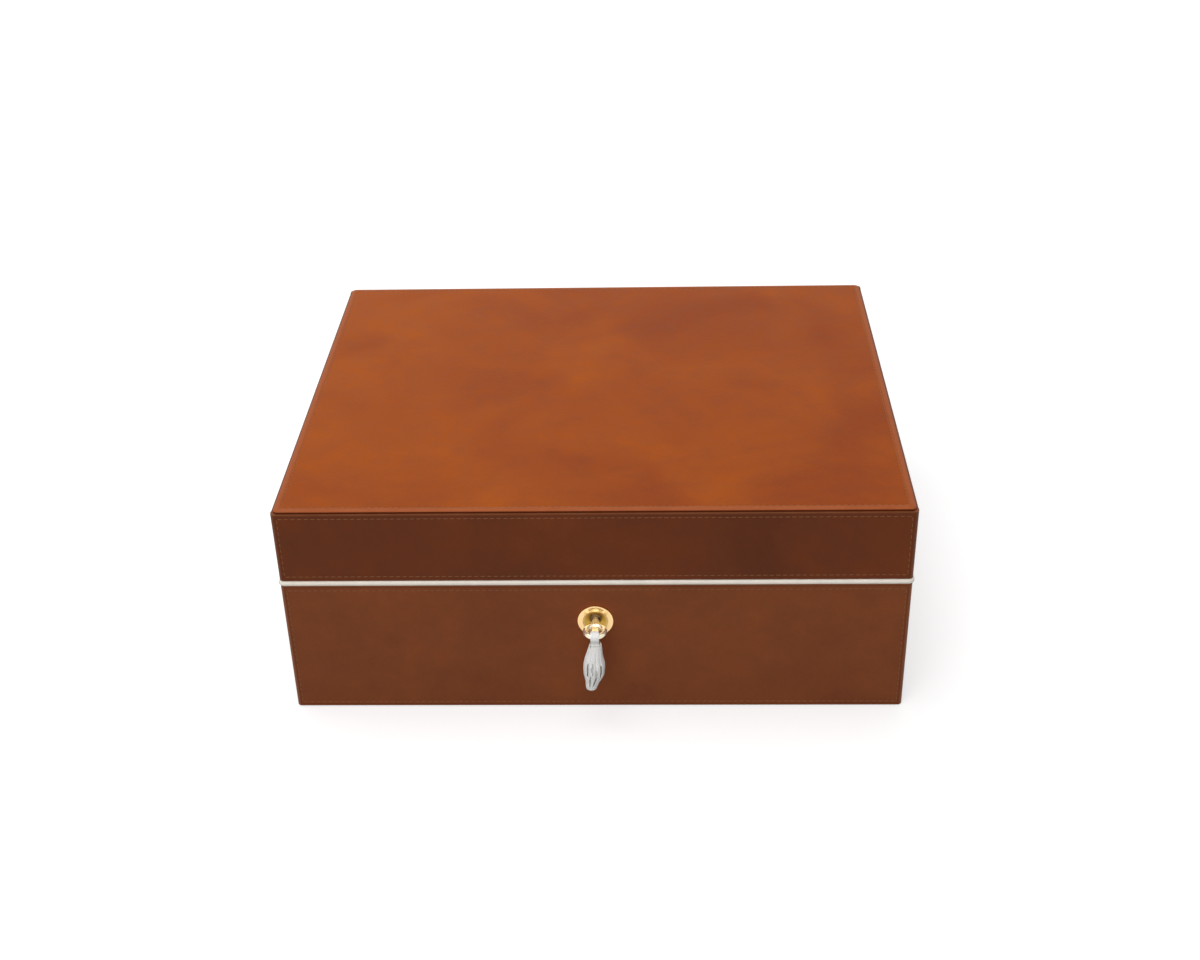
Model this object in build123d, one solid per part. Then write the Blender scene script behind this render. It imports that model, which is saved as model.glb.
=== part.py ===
"""Leather covered humidor with a lift lid on quadrant hinges, a box lock and a tassel on its key.

Millimetres. The origin is the middle of the underside. +X is the right hand side as seen from the
front, +Y goes to the back, +Z is up. The lid is closed, the lock is open and the key is in it.
"""

import math
import os

from build123d import *

# Outside of the case
width = 320.0
depth = 264.0
seam_height = 81.0
lid_height = 41.0
corner_round = 2.4
leather_thickness = 1.6
leather_foot = 0.5
corner_wrap = 4.0
panel_edge_round = 0.7
top_edge_round = 1.0
top_panel_under_round = 0.5

# Boards of the base and the lid
wall_thickness = 10.0
floor_thickness = 7.0
top_thickness = 8.0
felt_thickness = 1.2
felt_inset = 3.0

# Cedar lining
cedar_wall = 5.0
cedar_floor_thickness = 4.0
cedar_ceiling_thickness = 4.0
lip_height = 6.0
lip_setback = 0.4
lip_edge_round = 1.2
lid_lining_gap = 1.0

# Piping round the rim of the base
rim_gap = 0.3
piping_height = 2.8
piping_proud = 0.8

# Quadrant hinges
leaf_width = 7.6
leaf_thickness = 1.6
leaf_length = 38.0
knuckle_radius = 2.2
knuckle_middle = 2.8
knuckle_gap = 0.1
knuckle_relief = 0.3
hinge_setback = 2.4
hinge_pin_radius = 1.0
pin_clearance = 0.05
leaf_clearance = 0.15
hinge_notch_clearance = 0.3
lid_opening = 95.0
arm_radius = 26.0
arm_width = 3.4
arm_thickness = 1.6
arm_overlap = 11.5
arm_bulb_radius = 2.4
arm_clearance = 0.4

# Wood screws
screw_head_radius = 1.9
screw_head_height = 1.2
screw_shank_radius = 0.9
screw_length = 8.0
screw_clearance = 0.05
screw_slot_width = 0.6
screw_slot_depth = 0.5
hinge_screw_front = 5.0
hinge_screw_back = 13.4

# Box lock
lock_axis_drop = 24.7
lock_width = 46.0
lock_depth = 7.5
lock_drop = 10.3
lock_wall = 1.0
lock_cover_thickness = 0.8
selvedge_length = 59.0
selvedge_thickness = 1.6
selvedge_screw_spacing = 52.0
lock_pocket_clearance = 0.1
barrel_radius = 2.9
barrel_clearance = 0.05
barrel_recess = 0.8
flange_radius = 4.9
flange_thickness = 1.4
flange_gap = 0.2
pivot_radius = 1.2
keyway_radius = 1.55
keyway_depth = 4.2
keyway_slot_reach = 2.5
keyway_slot_width = 1.5
bolt_throw = 5.0
crank_pin_radius = 0.8
crank_pin_past_bolt = 0.35
fork_clearance = 0.3
fork_tine_width = 1.9
fork_clears_pivot = 0.3
bolt_thickness = 1.6
bolt_bar_drop = 18.2
bolt_bar_height = 6.0
bolt_post_radius = 1.2
bolt_post_clearance = 0.1
bolt_post_spacing = 14.0
bolt_post_middle = -3.0
bolt_end_margin = 3.2
hook_width = 2.5
hook_height = 2.0
hook_rest_gap = 0.8
hook_end_gap = 0.2

# Link plate with its two staples, under the lid
staple_spacing = 24.0
staple_thickness = 1.8
staple_depth = 4.4
staple_drop = 10.0
staple_eye_width = 2.4
staple_eye_height = 4.0
staple_eye_rise = 1.2
staple_slot_clearance = 0.5

# Round brass plate in front of the lock
rosette_radius = 9.2
rosette_proud = 1.5
rosette_rim_round = 0.9
rosette_flat_inner = 6.2
rosette_throat_radius = 3.1
rosette_funnel_bulge = 0.5
rosette_funnel_sink = 0.35
rosette_spigot_radius = 4.0
rosette_spigot_length = 3.5
rosette_fit = 0.05

# Key
key_reach = 16.2
bow_radius = 6.2
bow_rim_radius = 1.4
key_stem_radius = 1.4
key_insertion = 3.8
key_neck_width = 6.2
key_neck_thickness = 2.4
key_neck_start = 0.3
bow_web_thickness = 1.2
bow_tongue_clearance = 0.25
key_bit_reach = 2.3
key_bit_length = 1.8
key_bit_thickness = 1.2

# Leather tassel
strap_width = 4.3
strap_thickness = 0.7
loop_thickness = 0.55
loop_clearance = 0.15
loop_half_angle = 12.0
strap_drop = 4.6
strap_neck_thickness = 1.4
strap_bead_radius = 1.1
tassel_head_rise = 0.6
tassel_length = 29.0
tassel_lean = 2.6
tassel_shoulder_width = 7.5
tassel_full_width = 11.8
tassel_end_width = 6.3
tassel_flattening = 0.86
tassel_clearance = 0.25
thong_count = 8
thong_groove = 1.1
thong_gap_share = 0.2

# Rails, tray and divider inside
rail_width = 4.0
rail_height = 5.3
tray_width = 142.0
tray_height = 34.0
tray_below_lip = 3.0
tray_board = 4.0
tray_floor_thickness = 3.0
tray_floor_rise = 1.0
tray_side_clearance = 0.6
tray_rail_gap = 0.2
tray_partition_height = 23.0
tray_scoop_radius = 16.0
tray_scoop_depth = 8.0
tray_slot_width = 4.0
tray_slot_pitch = 13.0
tray_slot_end = 12.0
divider_thickness = 5.0
divider_below_rail = 2.0
divider_place = 40.0
divider_clearance = 0.3
divider_hole_radius = 5.0
divider_hole_count = 7

# Humidifier under the lid
humidifier_length = 150.0
humidifier_width = 45.0
humidifier_height = 16.2
humidifier_wall = 1.5
humidifier_corner = 6.0
grille_thickness = 2.0
grille_slot_count = 16
grille_slot_width = 3.0
grille_margin = 7.0
foam_gap = 0.2
magnet_radius = 9.0
magnet_thickness = 1.2
magnet_spacing = 90.0

# Hygrometer under the lid
hygrometer_radius = 25.0
hygrometer_height = 13.0
hygrometer_wall = 1.5
hygrometer_fit = 0.1
bezel_outer_radius = 26.0
bezel_inner_radius = 21.5
bezel_thickness = 1.2
lens_thickness = 1.4
dial_depth = 3.6
dial_thickness = 1.0
spindle_radius = 0.5
spindle_clearance = 0.06
spindle_length = 1.8
pointer_thickness = 0.6
pointer_lift = 0.8
pointer_length = 18.0
pointer_tail = 7.0
pointer_width = 1.6
pointer_hub_radius = 2.0
movement_radius = 8.0

# Places worked out from the sizes above
half_x = width / 2
half_y = depth / 2
height = seam_height + lid_height
carcass_x = half_x - leather_thickness
carcass_y = half_y - leather_thickness
carcass_round = corner_round - leather_thickness
wall_x = carcass_x - wall_thickness
wall_y = carcass_y - wall_thickness
room_x = wall_x - cedar_wall
room_y = wall_y - cedar_wall
rim_top = seam_height - rim_gap
base_leather_top = rim_top - piping_height
floor_top = felt_thickness + floor_thickness
room_floor = floor_top + cedar_floor_thickness
lip_top = seam_height + lip_height
lid_board_top = height - leather_thickness
lid_wall_top = lid_board_top - top_thickness
ceiling = lid_wall_top - cedar_ceiling_thickness
lining_bottom = lip_top + lid_lining_gap

hinge_x = (carcass_x + wall_x) / 2
hinge_y = half_y + hinge_setback
hinge_z = seam_height - rim_gap / 2
leaf_front = hinge_y - leaf_length
leaf_back = hinge_y - knuckle_radius - knuckle_relief
arm_half_angle = lid_opening / 2 + arm_overlap
arm_slot_y = hinge_y - arm_radius

lock_front = -wall_y - lock_depth
lock_back = -wall_y
lock_room_front = lock_front + lock_wall
lock_room_back = lock_back - lock_cover_thickness
lock_middle = (lock_room_front + lock_room_back) / 2
lock_axis_height = seam_height - lock_axis_drop
lock_bottom = lock_axis_height - lock_drop
selvedge_bottom = rim_top - selvedge_thickness
crank_offset = bolt_throw / 2
bolt_bar_bottom = rim_top - bolt_bar_drop
flange_front = lock_room_front + flange_gap
flange_back = flange_front + flange_thickness
barrel_front = -half_y + barrel_recess
bow_centre_y = -half_y - key_reach + bow_radius
rim_line_radius = bow_radius - bow_rim_radius
rim_line_y = bow_centre_y - rim_line_radius
strap_inner_radius = bow_rim_radius + loop_clearance + loop_thickness + tassel_clearance
strap_outer_radius = strap_inner_radius + strap_thickness
swing_height = lock_axis_height - strap_drop
tassel_top = swing_height + tassel_head_rise

tray_bottom = lip_top - tray_below_lip - tray_height
rail_top = tray_bottom - tray_rail_gap
tray_left = -room_x + tray_side_clearance
tray_right = tray_left + tray_width
tray_end_y = room_y - tray_side_clearance
divider_bottom = room_floor + divider_clearance
divider_top = rail_top - rail_height - divider_below_rail

ceiling_gap = (2 * room_x - humidifier_length - 2 * bezel_outer_radius) / 3
humidifier_place_x = -room_x + ceiling_gap + humidifier_length / 2
hygrometer_place_x = room_x - ceiling_gap - bezel_outer_radius


def block(x_range, y_range, z_range):
    """A box between two planes on each axis."""
    lows = (x_range[0], y_range[0], z_range[0])
    highs = (x_range[1], y_range[1], z_range[1])
    sizes = [high - low for low, high in zip(lows, highs)]
    middle = [(high + low) / 2 for low, high in zip(lows, highs)]
    return Pos(*middle) * Box(*sizes)


def rod_x(y, z, radius, x_range):
    """A round bar along X."""
    middle = (x_range[0] + x_range[1]) / 2
    return Pos(middle, y, z) * Rot(0, 90, 0) * Cylinder(radius, x_range[1] - x_range[0])


def rod_y(x, z, radius, y_range):
    """A round bar along Y."""
    middle = (y_range[0] + y_range[1]) / 2
    return Pos(x, middle, z) * Rot(90, 0, 0) * Cylinder(radius, y_range[1] - y_range[0])


def rod_z(x, y, radius, z_range):
    """A round bar along Z."""
    middle = (z_range[0] + z_range[1]) / 2
    return Pos(x, y, middle) * Cylinder(radius, z_range[1] - z_range[0])


def slab(reach_x, reach_y, corner, z_range):
    """A flat slab about the Z axis with rounded upright corners."""
    outline = RectangleRounded(2 * reach_x, 2 * reach_y, corner)
    return Pos(0, 0, z_range[0]) * extrude(outline, z_range[1] - z_range[0])


def save(shape, name):
    """Writes one piece, or one group of like pieces, as a file of its own."""
    shape.label = name
    export_step(shape, f"parts/{name}.step")


def leather_band(z_range):
    """The four leather sides as one band round the carcass, with soft long edges."""
    outer = slab(half_x, half_y, corner_round, z_range)
    edges = outer.edges().group_by(Axis.Z)
    outer = fillet(edges[0] + edges[-1], panel_edge_round)
    return outer - slab(carcass_x, carcass_y, carcass_round, z_range)


def cut_band(band):
    """Cuts the band into a front, back, left and right panel; front and back turn the corners."""
    line = half_y - corner_wrap
    far = 2 * (width + depth)
    tall = (-far, far)
    front = band & block(tall, (-far, -line), tall)
    back = band & block(tall, (line, far), tall)
    left = band & block((-far, 0), (-line, line), tall)
    right = band & block((0, far), (-line, line), tall)
    return {"front": front, "back": back, "left": left, "right": right}


def carcass_boards(z_range):
    """Four upright boards: full depth sides with the front and back boards between them."""
    outline = slab(carcass_x, carcass_y, carcass_round, z_range)
    side = (-carcass_y, carcass_y)
    left = block((-carcass_x, -wall_x), side, z_range) & outline
    right = block((wall_x, carcass_x), side, z_range) & outline
    front = block((-wall_x, wall_x), (-carcass_y, -wall_y), z_range)
    back = block((-wall_x, wall_x), (wall_y, carcass_y), z_range)
    return {"front": front, "back": back, "left": left, "right": right}


def screw(extra=0.0):
    """A countersunk wood screw pointing down from z = 0; extra makes its hole instead."""
    head_depth = screw_head_height
    head = Pos(0, 0, -head_depth / 2) * Cone(
        screw_shank_radius + extra, screw_head_radius + extra, head_depth
    )
    shank = rod_z(0, 0, screw_shank_radius + extra, (-screw_length - extra, -head_depth / 2))
    if extra:
        return head + shank
    reach = screw_head_radius + 1
    slot = block((-reach, reach), (-screw_slot_width / 2, screw_slot_width / 2), (-screw_slot_depth, 1))
    return head + shank - slot


def leaf_outline(x, extra=0.0):
    """The flat shape of a hinge leaf, round at its front end."""
    half = leaf_width / 2 + extra
    round_centre = leaf_front + leaf_width / 2
    straight = Pos(x, (round_centre + leaf_back) / 2) * Rectangle(2 * half, leaf_back - round_centre)
    return straight + Pos(x, round_centre) * Circle(half)


def ring_sector(x, half_thickness, half_width, low_angle, high_angle):
    """A flat arc about the hinge axis; angles go up from straight forward."""
    outer = arm_radius + half_width
    ring = rod_x(hinge_y, hinge_z, outer, (x - half_thickness, x + half_thickness))
    ring -= rod_x(hinge_y, hinge_z, arm_radius - half_width, (x - outer, x + outer))
    middle_angle = (low_angle + high_angle) / 2
    corners = [(hinge_y, hinge_z)]
    for angle in (low_angle, middle_angle, high_angle):
        turn = math.radians(angle)
        corners.append((hinge_y - 3 * outer * math.cos(turn), hinge_z + 3 * outer * math.sin(turn)))
    wedge = Plane.YZ * Polygon(*corners, align=None)
    wedge = Pos(x, 0, 0) * extrude(wedge, outer, both=True)
    return ring & wedge


def arm_pocket(x, up):
    """The curved mortise that the stay arm slides in; up is +1 in the lid and -1 in the base."""
    half_width = arm_bulb_radius + arm_clearance
    end = arm_half_angle + math.degrees(half_width / arm_radius)
    angles = sorted((0.0, up * end))
    return ring_sector(x, arm_thickness / 2 + arm_clearance, half_width, *angles)


def hinge_screw_places():
    """Where the two screws of each hinge leaf stand along Y."""
    return (leaf_front + hinge_screw_front, hinge_y - hinge_screw_back)


def hinge_mortise(x, up):
    """What a side board loses to one hinge: leaf recess, arm pocket and screw holes."""
    face = rim_top if up < 0 else seam_height
    recess = extrude(Pos(0, 0, face) * leaf_outline(x, leaf_clearance), up * leaf_thickness)
    past_end = (leaf_back - leaf_clearance, half_y)
    reach = leaf_width / 2 + leaf_clearance
    recess += block((x - reach, x + reach), past_end, sorted((face, face + up * leaf_thickness)))
    recess += arm_pocket(x, up)
    for y in hinge_screw_places():
        turn = Rot(0, 0, 0) if up < 0 else Rot(180, 0, 0)
        recess += Pos(x, y, face) * turn * screw(screw_clearance)
    return recess


def hinge_leaf(x, up):
    """One hinge leaf with its knuckles, arm slot and countersunk holes."""
    face = rim_top if up < 0 else seam_height
    leaf = extrude(Pos(0, 0, face) * leaf_outline(x), up * leaf_thickness)
    heights = sorted((face, face + up * leaf_thickness))
    half = leaf_width / 2
    inner = knuckle_middle / 2
    if up > 0:
        spans = [(x - inner, x + inner)]
    else:
        spans = [(x - half, x - inner - knuckle_gap), (x + inner + knuckle_gap, x + half)]
    for span in spans:
        leaf += block(span, (leaf_back - knuckle_gap, hinge_y), heights)
        leaf += rod_x(hinge_y, hinge_z, knuckle_radius, span)
    leaf -= rod_x(hinge_y, hinge_z, hinge_pin_radius + pin_clearance, (x - leaf_width, x + leaf_width))
    slot_x = arm_thickness / 2 + arm_clearance
    slot_y = arm_width / 2 + arm_clearance
    leaf -= block((x - slot_x, x + slot_x), (arm_slot_y - slot_y, arm_slot_y + slot_y), (0, height))
    for y in hinge_screw_places():
        turn = Rot(0, 0, 0) if up < 0 else Rot(180, 0, 0)
        leaf -= Pos(x, y, face) * turn * screw(screw_clearance)
    return leaf


def stay_arm(x):
    """The floating quadrant arm: an arc with a round stop at each end."""
    arm = ring_sector(x, arm_thickness / 2, arm_width / 2, -arm_half_angle, arm_half_angle)
    for angle in (-arm_half_angle, arm_half_angle):
        turn = math.radians(angle)
        y = hinge_y - arm_radius * math.cos(turn)
        z = hinge_z + arm_radius * math.sin(turn)
        arm += rod_x(y, z, arm_bulb_radius, (x - arm_thickness / 2, x + arm_thickness / 2))
    return arm


def hinge_notch(x, z_range):
    """The gap in the piping or the lid leather where the knuckles pass."""
    reach = leaf_width / 2 + hinge_notch_clearance
    return block((x - reach, x + reach), (carcass_y, half_y + 2 * hinge_setback), z_range)


def piping():
    """The rounded white piping that runs round the rim of the base, open at the hinges."""
    reach_x = half_x + piping_proud
    reach_y = half_y + piping_proud
    span = (base_leather_top, rim_top)
    bead = slab(reach_x, reach_y, corner_round + piping_proud, span)
    edges = bead.edges().group_by(Axis.Z)
    bead = fillet(edges[0] + edges[-1], 0.48 * piping_height)
    bead -= slab(carcass_x, carcass_y, carcass_round, span)
    for x in (-hinge_x, hinge_x):
        bead -= hinge_notch(x, span)
    return bead


def lock_pocket():
    """What the front board loses to the lock case, its top plate and the bore of the brass plate."""
    gap = lock_pocket_clearance
    reach = lock_width / 2 + gap
    rows = (lock_front - gap, lock_back)
    pocket = block((-reach, reach), rows, (lock_bottom - gap, rim_top))
    pocket += block(
        (-selvedge_length / 2 - gap, selvedge_length / 2 + gap), rows, (selvedge_bottom, rim_top)
    )
    pocket += rosette_bore()
    for x in (-selvedge_screw_spacing / 2, selvedge_screw_spacing / 2):
        pocket += Pos(x, (lock_front + lock_back) / 2, rim_top) * screw(screw_clearance)
    return pocket


def rosette_bore():
    """The round hole through the leather and the front board."""
    return rod_y(0, lock_axis_height, rosette_spigot_radius + rosette_fit, (-half_y - 1, lock_front))


def lock_case():
    """The open brass box of the lock with its top plate, bolt posts and the front bearing."""
    reach = lock_width / 2
    case = block((-reach, reach), (lock_front, lock_room_back), (lock_bottom, selvedge_bottom))
    room = reach - lock_wall
    case -= block(
        (-room, room), (lock_room_front, lock_room_back), (lock_bottom + lock_wall, selvedge_bottom)
    )
    half_plate = selvedge_length / 2
    case += block((-half_plate, half_plate), (lock_front, lock_back), (selvedge_bottom, rim_top))
    for side in (-1, 1):
        x = side * staple_spacing / 2
        gap = staple_slot_clearance
        slot_x = (x - staple_thickness / 2 - gap, x + staple_thickness / 2 + gap)
        slot_y = (lock_middle - staple_depth / 2 - gap, lock_middle + staple_depth / 2 + gap)
        case -= block(slot_x, slot_y, (selvedge_bottom - 1, rim_top + 1))
        place = Pos(side * selvedge_screw_spacing / 2, (lock_front + lock_back) / 2, rim_top)
        case -= place * screw(screw_clearance)
        post_x = bolt_post_middle + side * bolt_post_spacing / 2
        case += rod_y(post_x, bolt_post_height(), bolt_post_radius, (lock_room_front, lock_room_back))
    bearing = barrel_radius + barrel_clearance
    return case - rod_y(0, lock_axis_height, bearing, (lock_front - 1, lock_room_front + 1))


def bolt_post_height():
    """The posts run through the middle of the bolt's bar."""
    return bolt_bar_bottom + bolt_bar_height / 2


def lock_cover():
    """The flat back plate of the lock, with the rear bearing of the barrel."""
    reach = lock_width / 2
    plate = block((-reach, reach), (lock_room_back, lock_back), (lock_bottom, selvedge_bottom))
    bearing = pivot_radius + barrel_clearance
    return plate - rod_y(0, lock_axis_height, bearing, (lock_room_back - 1, lock_back + 1))


def lock_barrel():
    """The turning barrel: keyway at the front, crank pin on the flange, pivot at the back."""
    barrel = rod_y(0, lock_axis_height, barrel_radius, (barrel_front, flange_front))
    barrel += rod_y(0, lock_axis_height, flange_radius, (flange_front, flange_back))
    barrel += rod_y(0, lock_axis_height, pivot_radius, (flange_back, lock_back))
    bolt_back = lock_middle + bolt_thickness / 2
    pin_rows = (flange_back, bolt_back + crank_pin_past_bolt)
    barrel += rod_y(-crank_offset, lock_axis_height + crank_offset, crank_pin_radius, pin_rows)
    rows = (barrel_front - 1, barrel_front + keyway_depth)
    barrel -= rod_y(0, lock_axis_height, keyway_radius, rows)
    half_slot = keyway_slot_width / 2
    slot_z = (lock_axis_height - half_slot, lock_axis_height + half_slot)
    return barrel - block((0, keyway_slot_reach), rows, slot_z)


def lock_bolt():
    """The sliding bolt: a bar on two posts, a fork below it and two hooks above it."""
    rows = (lock_middle - bolt_thickness / 2, lock_middle + bolt_thickness / 2)
    left_staple = -staple_spacing / 2 - staple_thickness / 2
    first_hook_root = left_staple - hook_end_gap - bolt_throw
    bar_left = first_hook_root - hook_width
    bar_right = first_hook_root + staple_spacing + bolt_end_margin
    bar_top = bolt_bar_bottom + bolt_bar_height
    bolt = block((bar_left, bar_right), rows, (bolt_bar_bottom, bar_top))
    for side in (-1, 1):
        post_x = bolt_post_middle + side * bolt_post_spacing / 2
        half = bolt_post_radius + bolt_post_clearance
        middle = (post_x - bolt_throw, post_x)
        height_range = (bolt_post_height() - half, bolt_post_height() + half)
        bolt -= block(middle, (rows[0] - 1, rows[1] + 1), height_range)
        for x in middle:
            bolt -= rod_y(x, bolt_post_height(), half, (rows[0] - 1, rows[1] + 1))
        tine_inner = side * (crank_pin_radius + fork_clearance)
        tine_outer = tine_inner + side * fork_tine_width
        tine = sorted((tine_inner - crank_offset, tine_outer - crank_offset))
        tine_bottom = lock_axis_height + pivot_radius + fork_clears_pivot
        bolt += block(tine, rows, (tine_bottom, bolt_bar_bottom))
    eye_middle = seam_height - staple_drop + staple_eye_rise + staple_eye_height / 2
    hook_top = eye_middle + hook_height / 2
    for root in (first_hook_root, first_hook_root + staple_spacing):
        bolt += block((root - hook_width, root), rows, (bar_top, hook_top))
        tip = root + hook_end_gap + bolt_throw - hook_rest_gap
        bolt += block((root, tip), rows, (hook_top - hook_height, hook_top))
    return bolt


def link_plate():
    """The plate in the lid with two staples that drop into the lock."""
    half_plate = selvedge_length / 2
    top = seam_height + selvedge_thickness
    plate = block((-half_plate, half_plate), (lock_front, lock_back), (seam_height, top))
    bottom = seam_height - staple_drop
    for side in (-1, 1):
        x = side * staple_spacing / 2
        span_x = (x - staple_thickness / 2, x + staple_thickness / 2)
        span_y = (lock_middle - staple_depth / 2, lock_middle + staple_depth / 2)
        staple = block(span_x, span_y, (bottom, seam_height))
        low_edges = staple.edges().filter_by(Axis.X).group_by(Axis.Z)[0]
        staple = fillet(low_edges, staple_depth / 4)
        half_eye = staple_eye_width / 2
        eye_z = (bottom + staple_eye_rise, bottom + staple_eye_rise + staple_eye_height)
        eye_x = (x - staple_thickness, x + staple_thickness)
        eye = block(eye_x, (lock_middle - half_eye, lock_middle + half_eye), eye_z)
        plate += staple - fillet(eye.edges().filter_by(Axis.X), staple_eye_width / 4)
        place = Pos(side * selvedge_screw_spacing / 2, (lock_front + lock_back) / 2, seam_height)
        plate -= place * Rot(180, 0, 0) * screw(screw_clearance)
    return plate


def link_pocket():
    """What the front board of the lid loses to the link plate and its screws."""
    gap = lock_pocket_clearance
    reach = selvedge_length / 2 + gap
    rows = (lock_front - gap, lock_back)
    pocket = block((-reach, reach), rows, (seam_height, seam_height + selvedge_thickness))
    for side in (-1, 1):
        place = Pos(side * selvedge_screw_spacing / 2, (lock_front + lock_back) / 2, seam_height)
        pocket += place * Rot(180, 0, 0) * screw(screw_clearance)
    return pocket


def turned_about_lock(outline):
    """Turns a flat outline, drawn as (radius, distance in front of the leather), about the lock axis."""
    solid = revolve(outline, Axis.Y)
    return Pos(0, -half_y, lock_axis_height) * Rot(0, 0, 180) * solid


def key_rosette():
    """The round plate: a rolled rim, a flat ring, a funnel and a spigot that holds it in the wood."""
    proud = rosette_proud
    rim = rosette_rim_round
    bevel_start = (rosette_radius - rim, proud)
    bevel_end = (rosette_radius, proud - rim)
    throat = (rosette_throat_radius, -barrel_recess)
    outline = [
        Line((rosette_flat_inner, proud), bevel_start),
        RadiusArc(bevel_start, bevel_end, rim),
        Line(bevel_end, (rosette_radius, 0)),
        Line((rosette_radius, 0), (rosette_spigot_radius, 0)),
        Line((rosette_spigot_radius, 0), (rosette_spigot_radius, -rosette_spigot_length)),
        Line(
            (rosette_spigot_radius, -rosette_spigot_length),
            (rosette_throat_radius, -rosette_spigot_length),
        ),
        Line((rosette_throat_radius, -rosette_spigot_length), throat),
        ThreePointArc(throat, funnel_middle(), (rosette_flat_inner, proud)),
    ]
    return turned_about_lock(make_face(Curve() + outline))


def funnel_middle():
    """The point half way up the hollow funnel of the brass plate, a little inside the straight line."""
    radius = (rosette_throat_radius + rosette_flat_inner) / 2 + rosette_funnel_bulge
    front = (rosette_proud - barrel_recess) / 2 - rosette_funnel_sink
    return (radius, front)


def bow_web():
    """The thin web inside the bow, with a curved slot round its tongue for the strap to slip along."""
    tongue = rim_line_radius - strap_outer_radius - bow_tongue_clearance
    past_strap = strap_width / 2 + bow_tongue_clearance
    web = Circle(rim_line_radius) & Pos(0, past_strap + rim_line_radius) * Rectangle(
        2 * rim_line_radius, 2 * rim_line_radius
    )
    web += Pos(0, rim_line_radius / 2) * Rectangle(2 * tongue, rim_line_radius) + Circle(tongue)
    half = bow_web_thickness / 2
    return Pos(0, bow_centre_y, lock_axis_height) * extrude(web, half, both=True)


def key_neck():
    """The neck: round where it enters the lock, flat and wide where it meets the bow."""
    start = barrel_front - key_neck_start
    end = bow_centre_y + math.sqrt(rim_line_radius**2 - (key_neck_width / 2) ** 2)
    narrow = Pos(0, start, lock_axis_height) * Rot(90, 0, 0) * Circle(key_stem_radius)
    wide_outline = Ellipse(key_neck_width / 2, key_neck_thickness / 2)
    wide = Pos(0, end, lock_axis_height) * Rot(90, 0, 0) * wide_outline
    return loft(Sketch() + [narrow, wide])


def key():
    """The key: stem with a small bit, a flared neck and a round bow that lies flat."""
    stem_end = barrel_front + key_insertion
    shape = rod_y(0, lock_axis_height, key_stem_radius, (barrel_front - key_neck_start, stem_end))
    half_bit = key_bit_thickness / 2
    shape += block(
        (0, key_bit_reach),
        (stem_end - key_bit_length, stem_end),
        (lock_axis_height - half_bit, lock_axis_height + half_bit),
    )
    bow = Pos(0, bow_centre_y, lock_axis_height) * Torus(rim_line_radius, bow_rim_radius)
    return shape + key_neck() + bow + bow_web()


def tassel_loop():
    """The inner wrap of the strap, a short sleeve round the far rim of the bow."""
    inner = bow_rim_radius + loop_clearance
    section = Circle(inner + loop_thickness) - Circle(inner)
    section = Plane.YZ * (Pos(-rim_line_radius, 0) * section)
    sleeve = revolve(section, Axis.Z, 2 * loop_half_angle)
    return Pos(0, bow_centre_y, lock_axis_height) * Rot(0, 0, -loop_half_angle) * sleeve


def tassel_strap():
    """The strap that folds over the rim; its two legs meet in a rolled end."""
    neck = strap_neck_thickness / 2
    shoulder = -strap_inner_radius * 0.35
    meet = -(strap_inner_radius + strap_thickness + 2 * tassel_clearance)
    legs = Polygon(
        (-strap_outer_radius, 0),
        (-strap_outer_radius, shoulder),
        (-neck, meet),
        (-neck, -strap_drop),
        (neck, -strap_drop),
        (neck, meet),
        (strap_outer_radius, shoulder),
        (strap_outer_radius, 0),
        align=None,
    )
    outline = Circle(strap_outer_radius) + legs - Circle(strap_inner_radius)
    outline += Pos(0, -strap_drop) * Circle(strap_bead_radius)
    strap = extrude(Plane.YZ * outline, strap_width)
    return Pos(-strap_width / 2, rim_line_y, lock_axis_height) * strap


def thong_ring(half_width, groove, share):
    """One level of the tassel: a flattened round with a cut between each two thongs."""
    points = []
    pitch = 2 * math.pi / thong_count
    for number in range(thong_count):
        start = (number - 0.5) * pitch
        for part, depth_in in (
            (thong_gap_share, 0),
            (1 - thong_gap_share, 0),
            (1, groove),
        ):
            angle = start + part * pitch
            reach = half_width - depth_in
            points.append((reach * math.cos(angle), tassel_flattening * reach * math.sin(angle)))
    lean = -tassel_lean * share**2
    return Pos(lean, rim_line_y, tassel_top - share * tassel_length) * make_face(
        Polyline(*points, close=True)
    )


def tassel_skirt():
    """The cut leather skirt: shoulders, a full middle and a gathered end, slotted for the strap."""
    half_sizes = [size / 2 for size in (tassel_shoulder_width, tassel_full_width, tassel_end_width)]
    shoulder, full, end = half_sizes
    levels = (
        (0.0, 0.86 * shoulder, 0.0),
        (0.07, shoulder, 0.0),
        (0.22, (shoulder + full) / 2, 0.3 * thong_groove),
        (0.34, 0.95 * full, thong_groove),
        (0.46, full, thong_groove),
        (0.62, 0.93 * full, thong_groove),
        (0.8, (full + end) / 2, 0.8 * thong_groove),
        (1.0, end, 0.5 * thong_groove),
    )
    rings = [thong_ring(half, groove, share) for share, half, groove in levels]
    skirt = loft(Sketch() + rings, ruled=True)
    reach = strap_width / 2 + tassel_clearance
    slot_bottom = swing_height - strap_bead_radius - tassel_clearance
    far = tassel_full_width
    return skirt - block(
        (-reach, reach), (rim_line_y - far, rim_line_y + far), (slot_bottom, tassel_top + 1)
    )


def cedar_liner(x_range, y_range):
    """A cedar board that stands above the rim; the part above is set in to pass the lid."""
    lower = block(x_range, y_range, (room_floor, rim_top))
    upper = block(x_range, y_range, (rim_top, lip_top))
    reach_x = wall_x - lip_setback
    reach_y = wall_y - lip_setback
    envelope = block((-reach_x, reach_x), (-reach_y, reach_y), (rim_top - 1, lip_top))
    envelope = fillet(envelope.faces().sort_by(Axis.Z)[-1].edges(), lip_edge_round)
    return lower + (upper & envelope)


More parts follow.
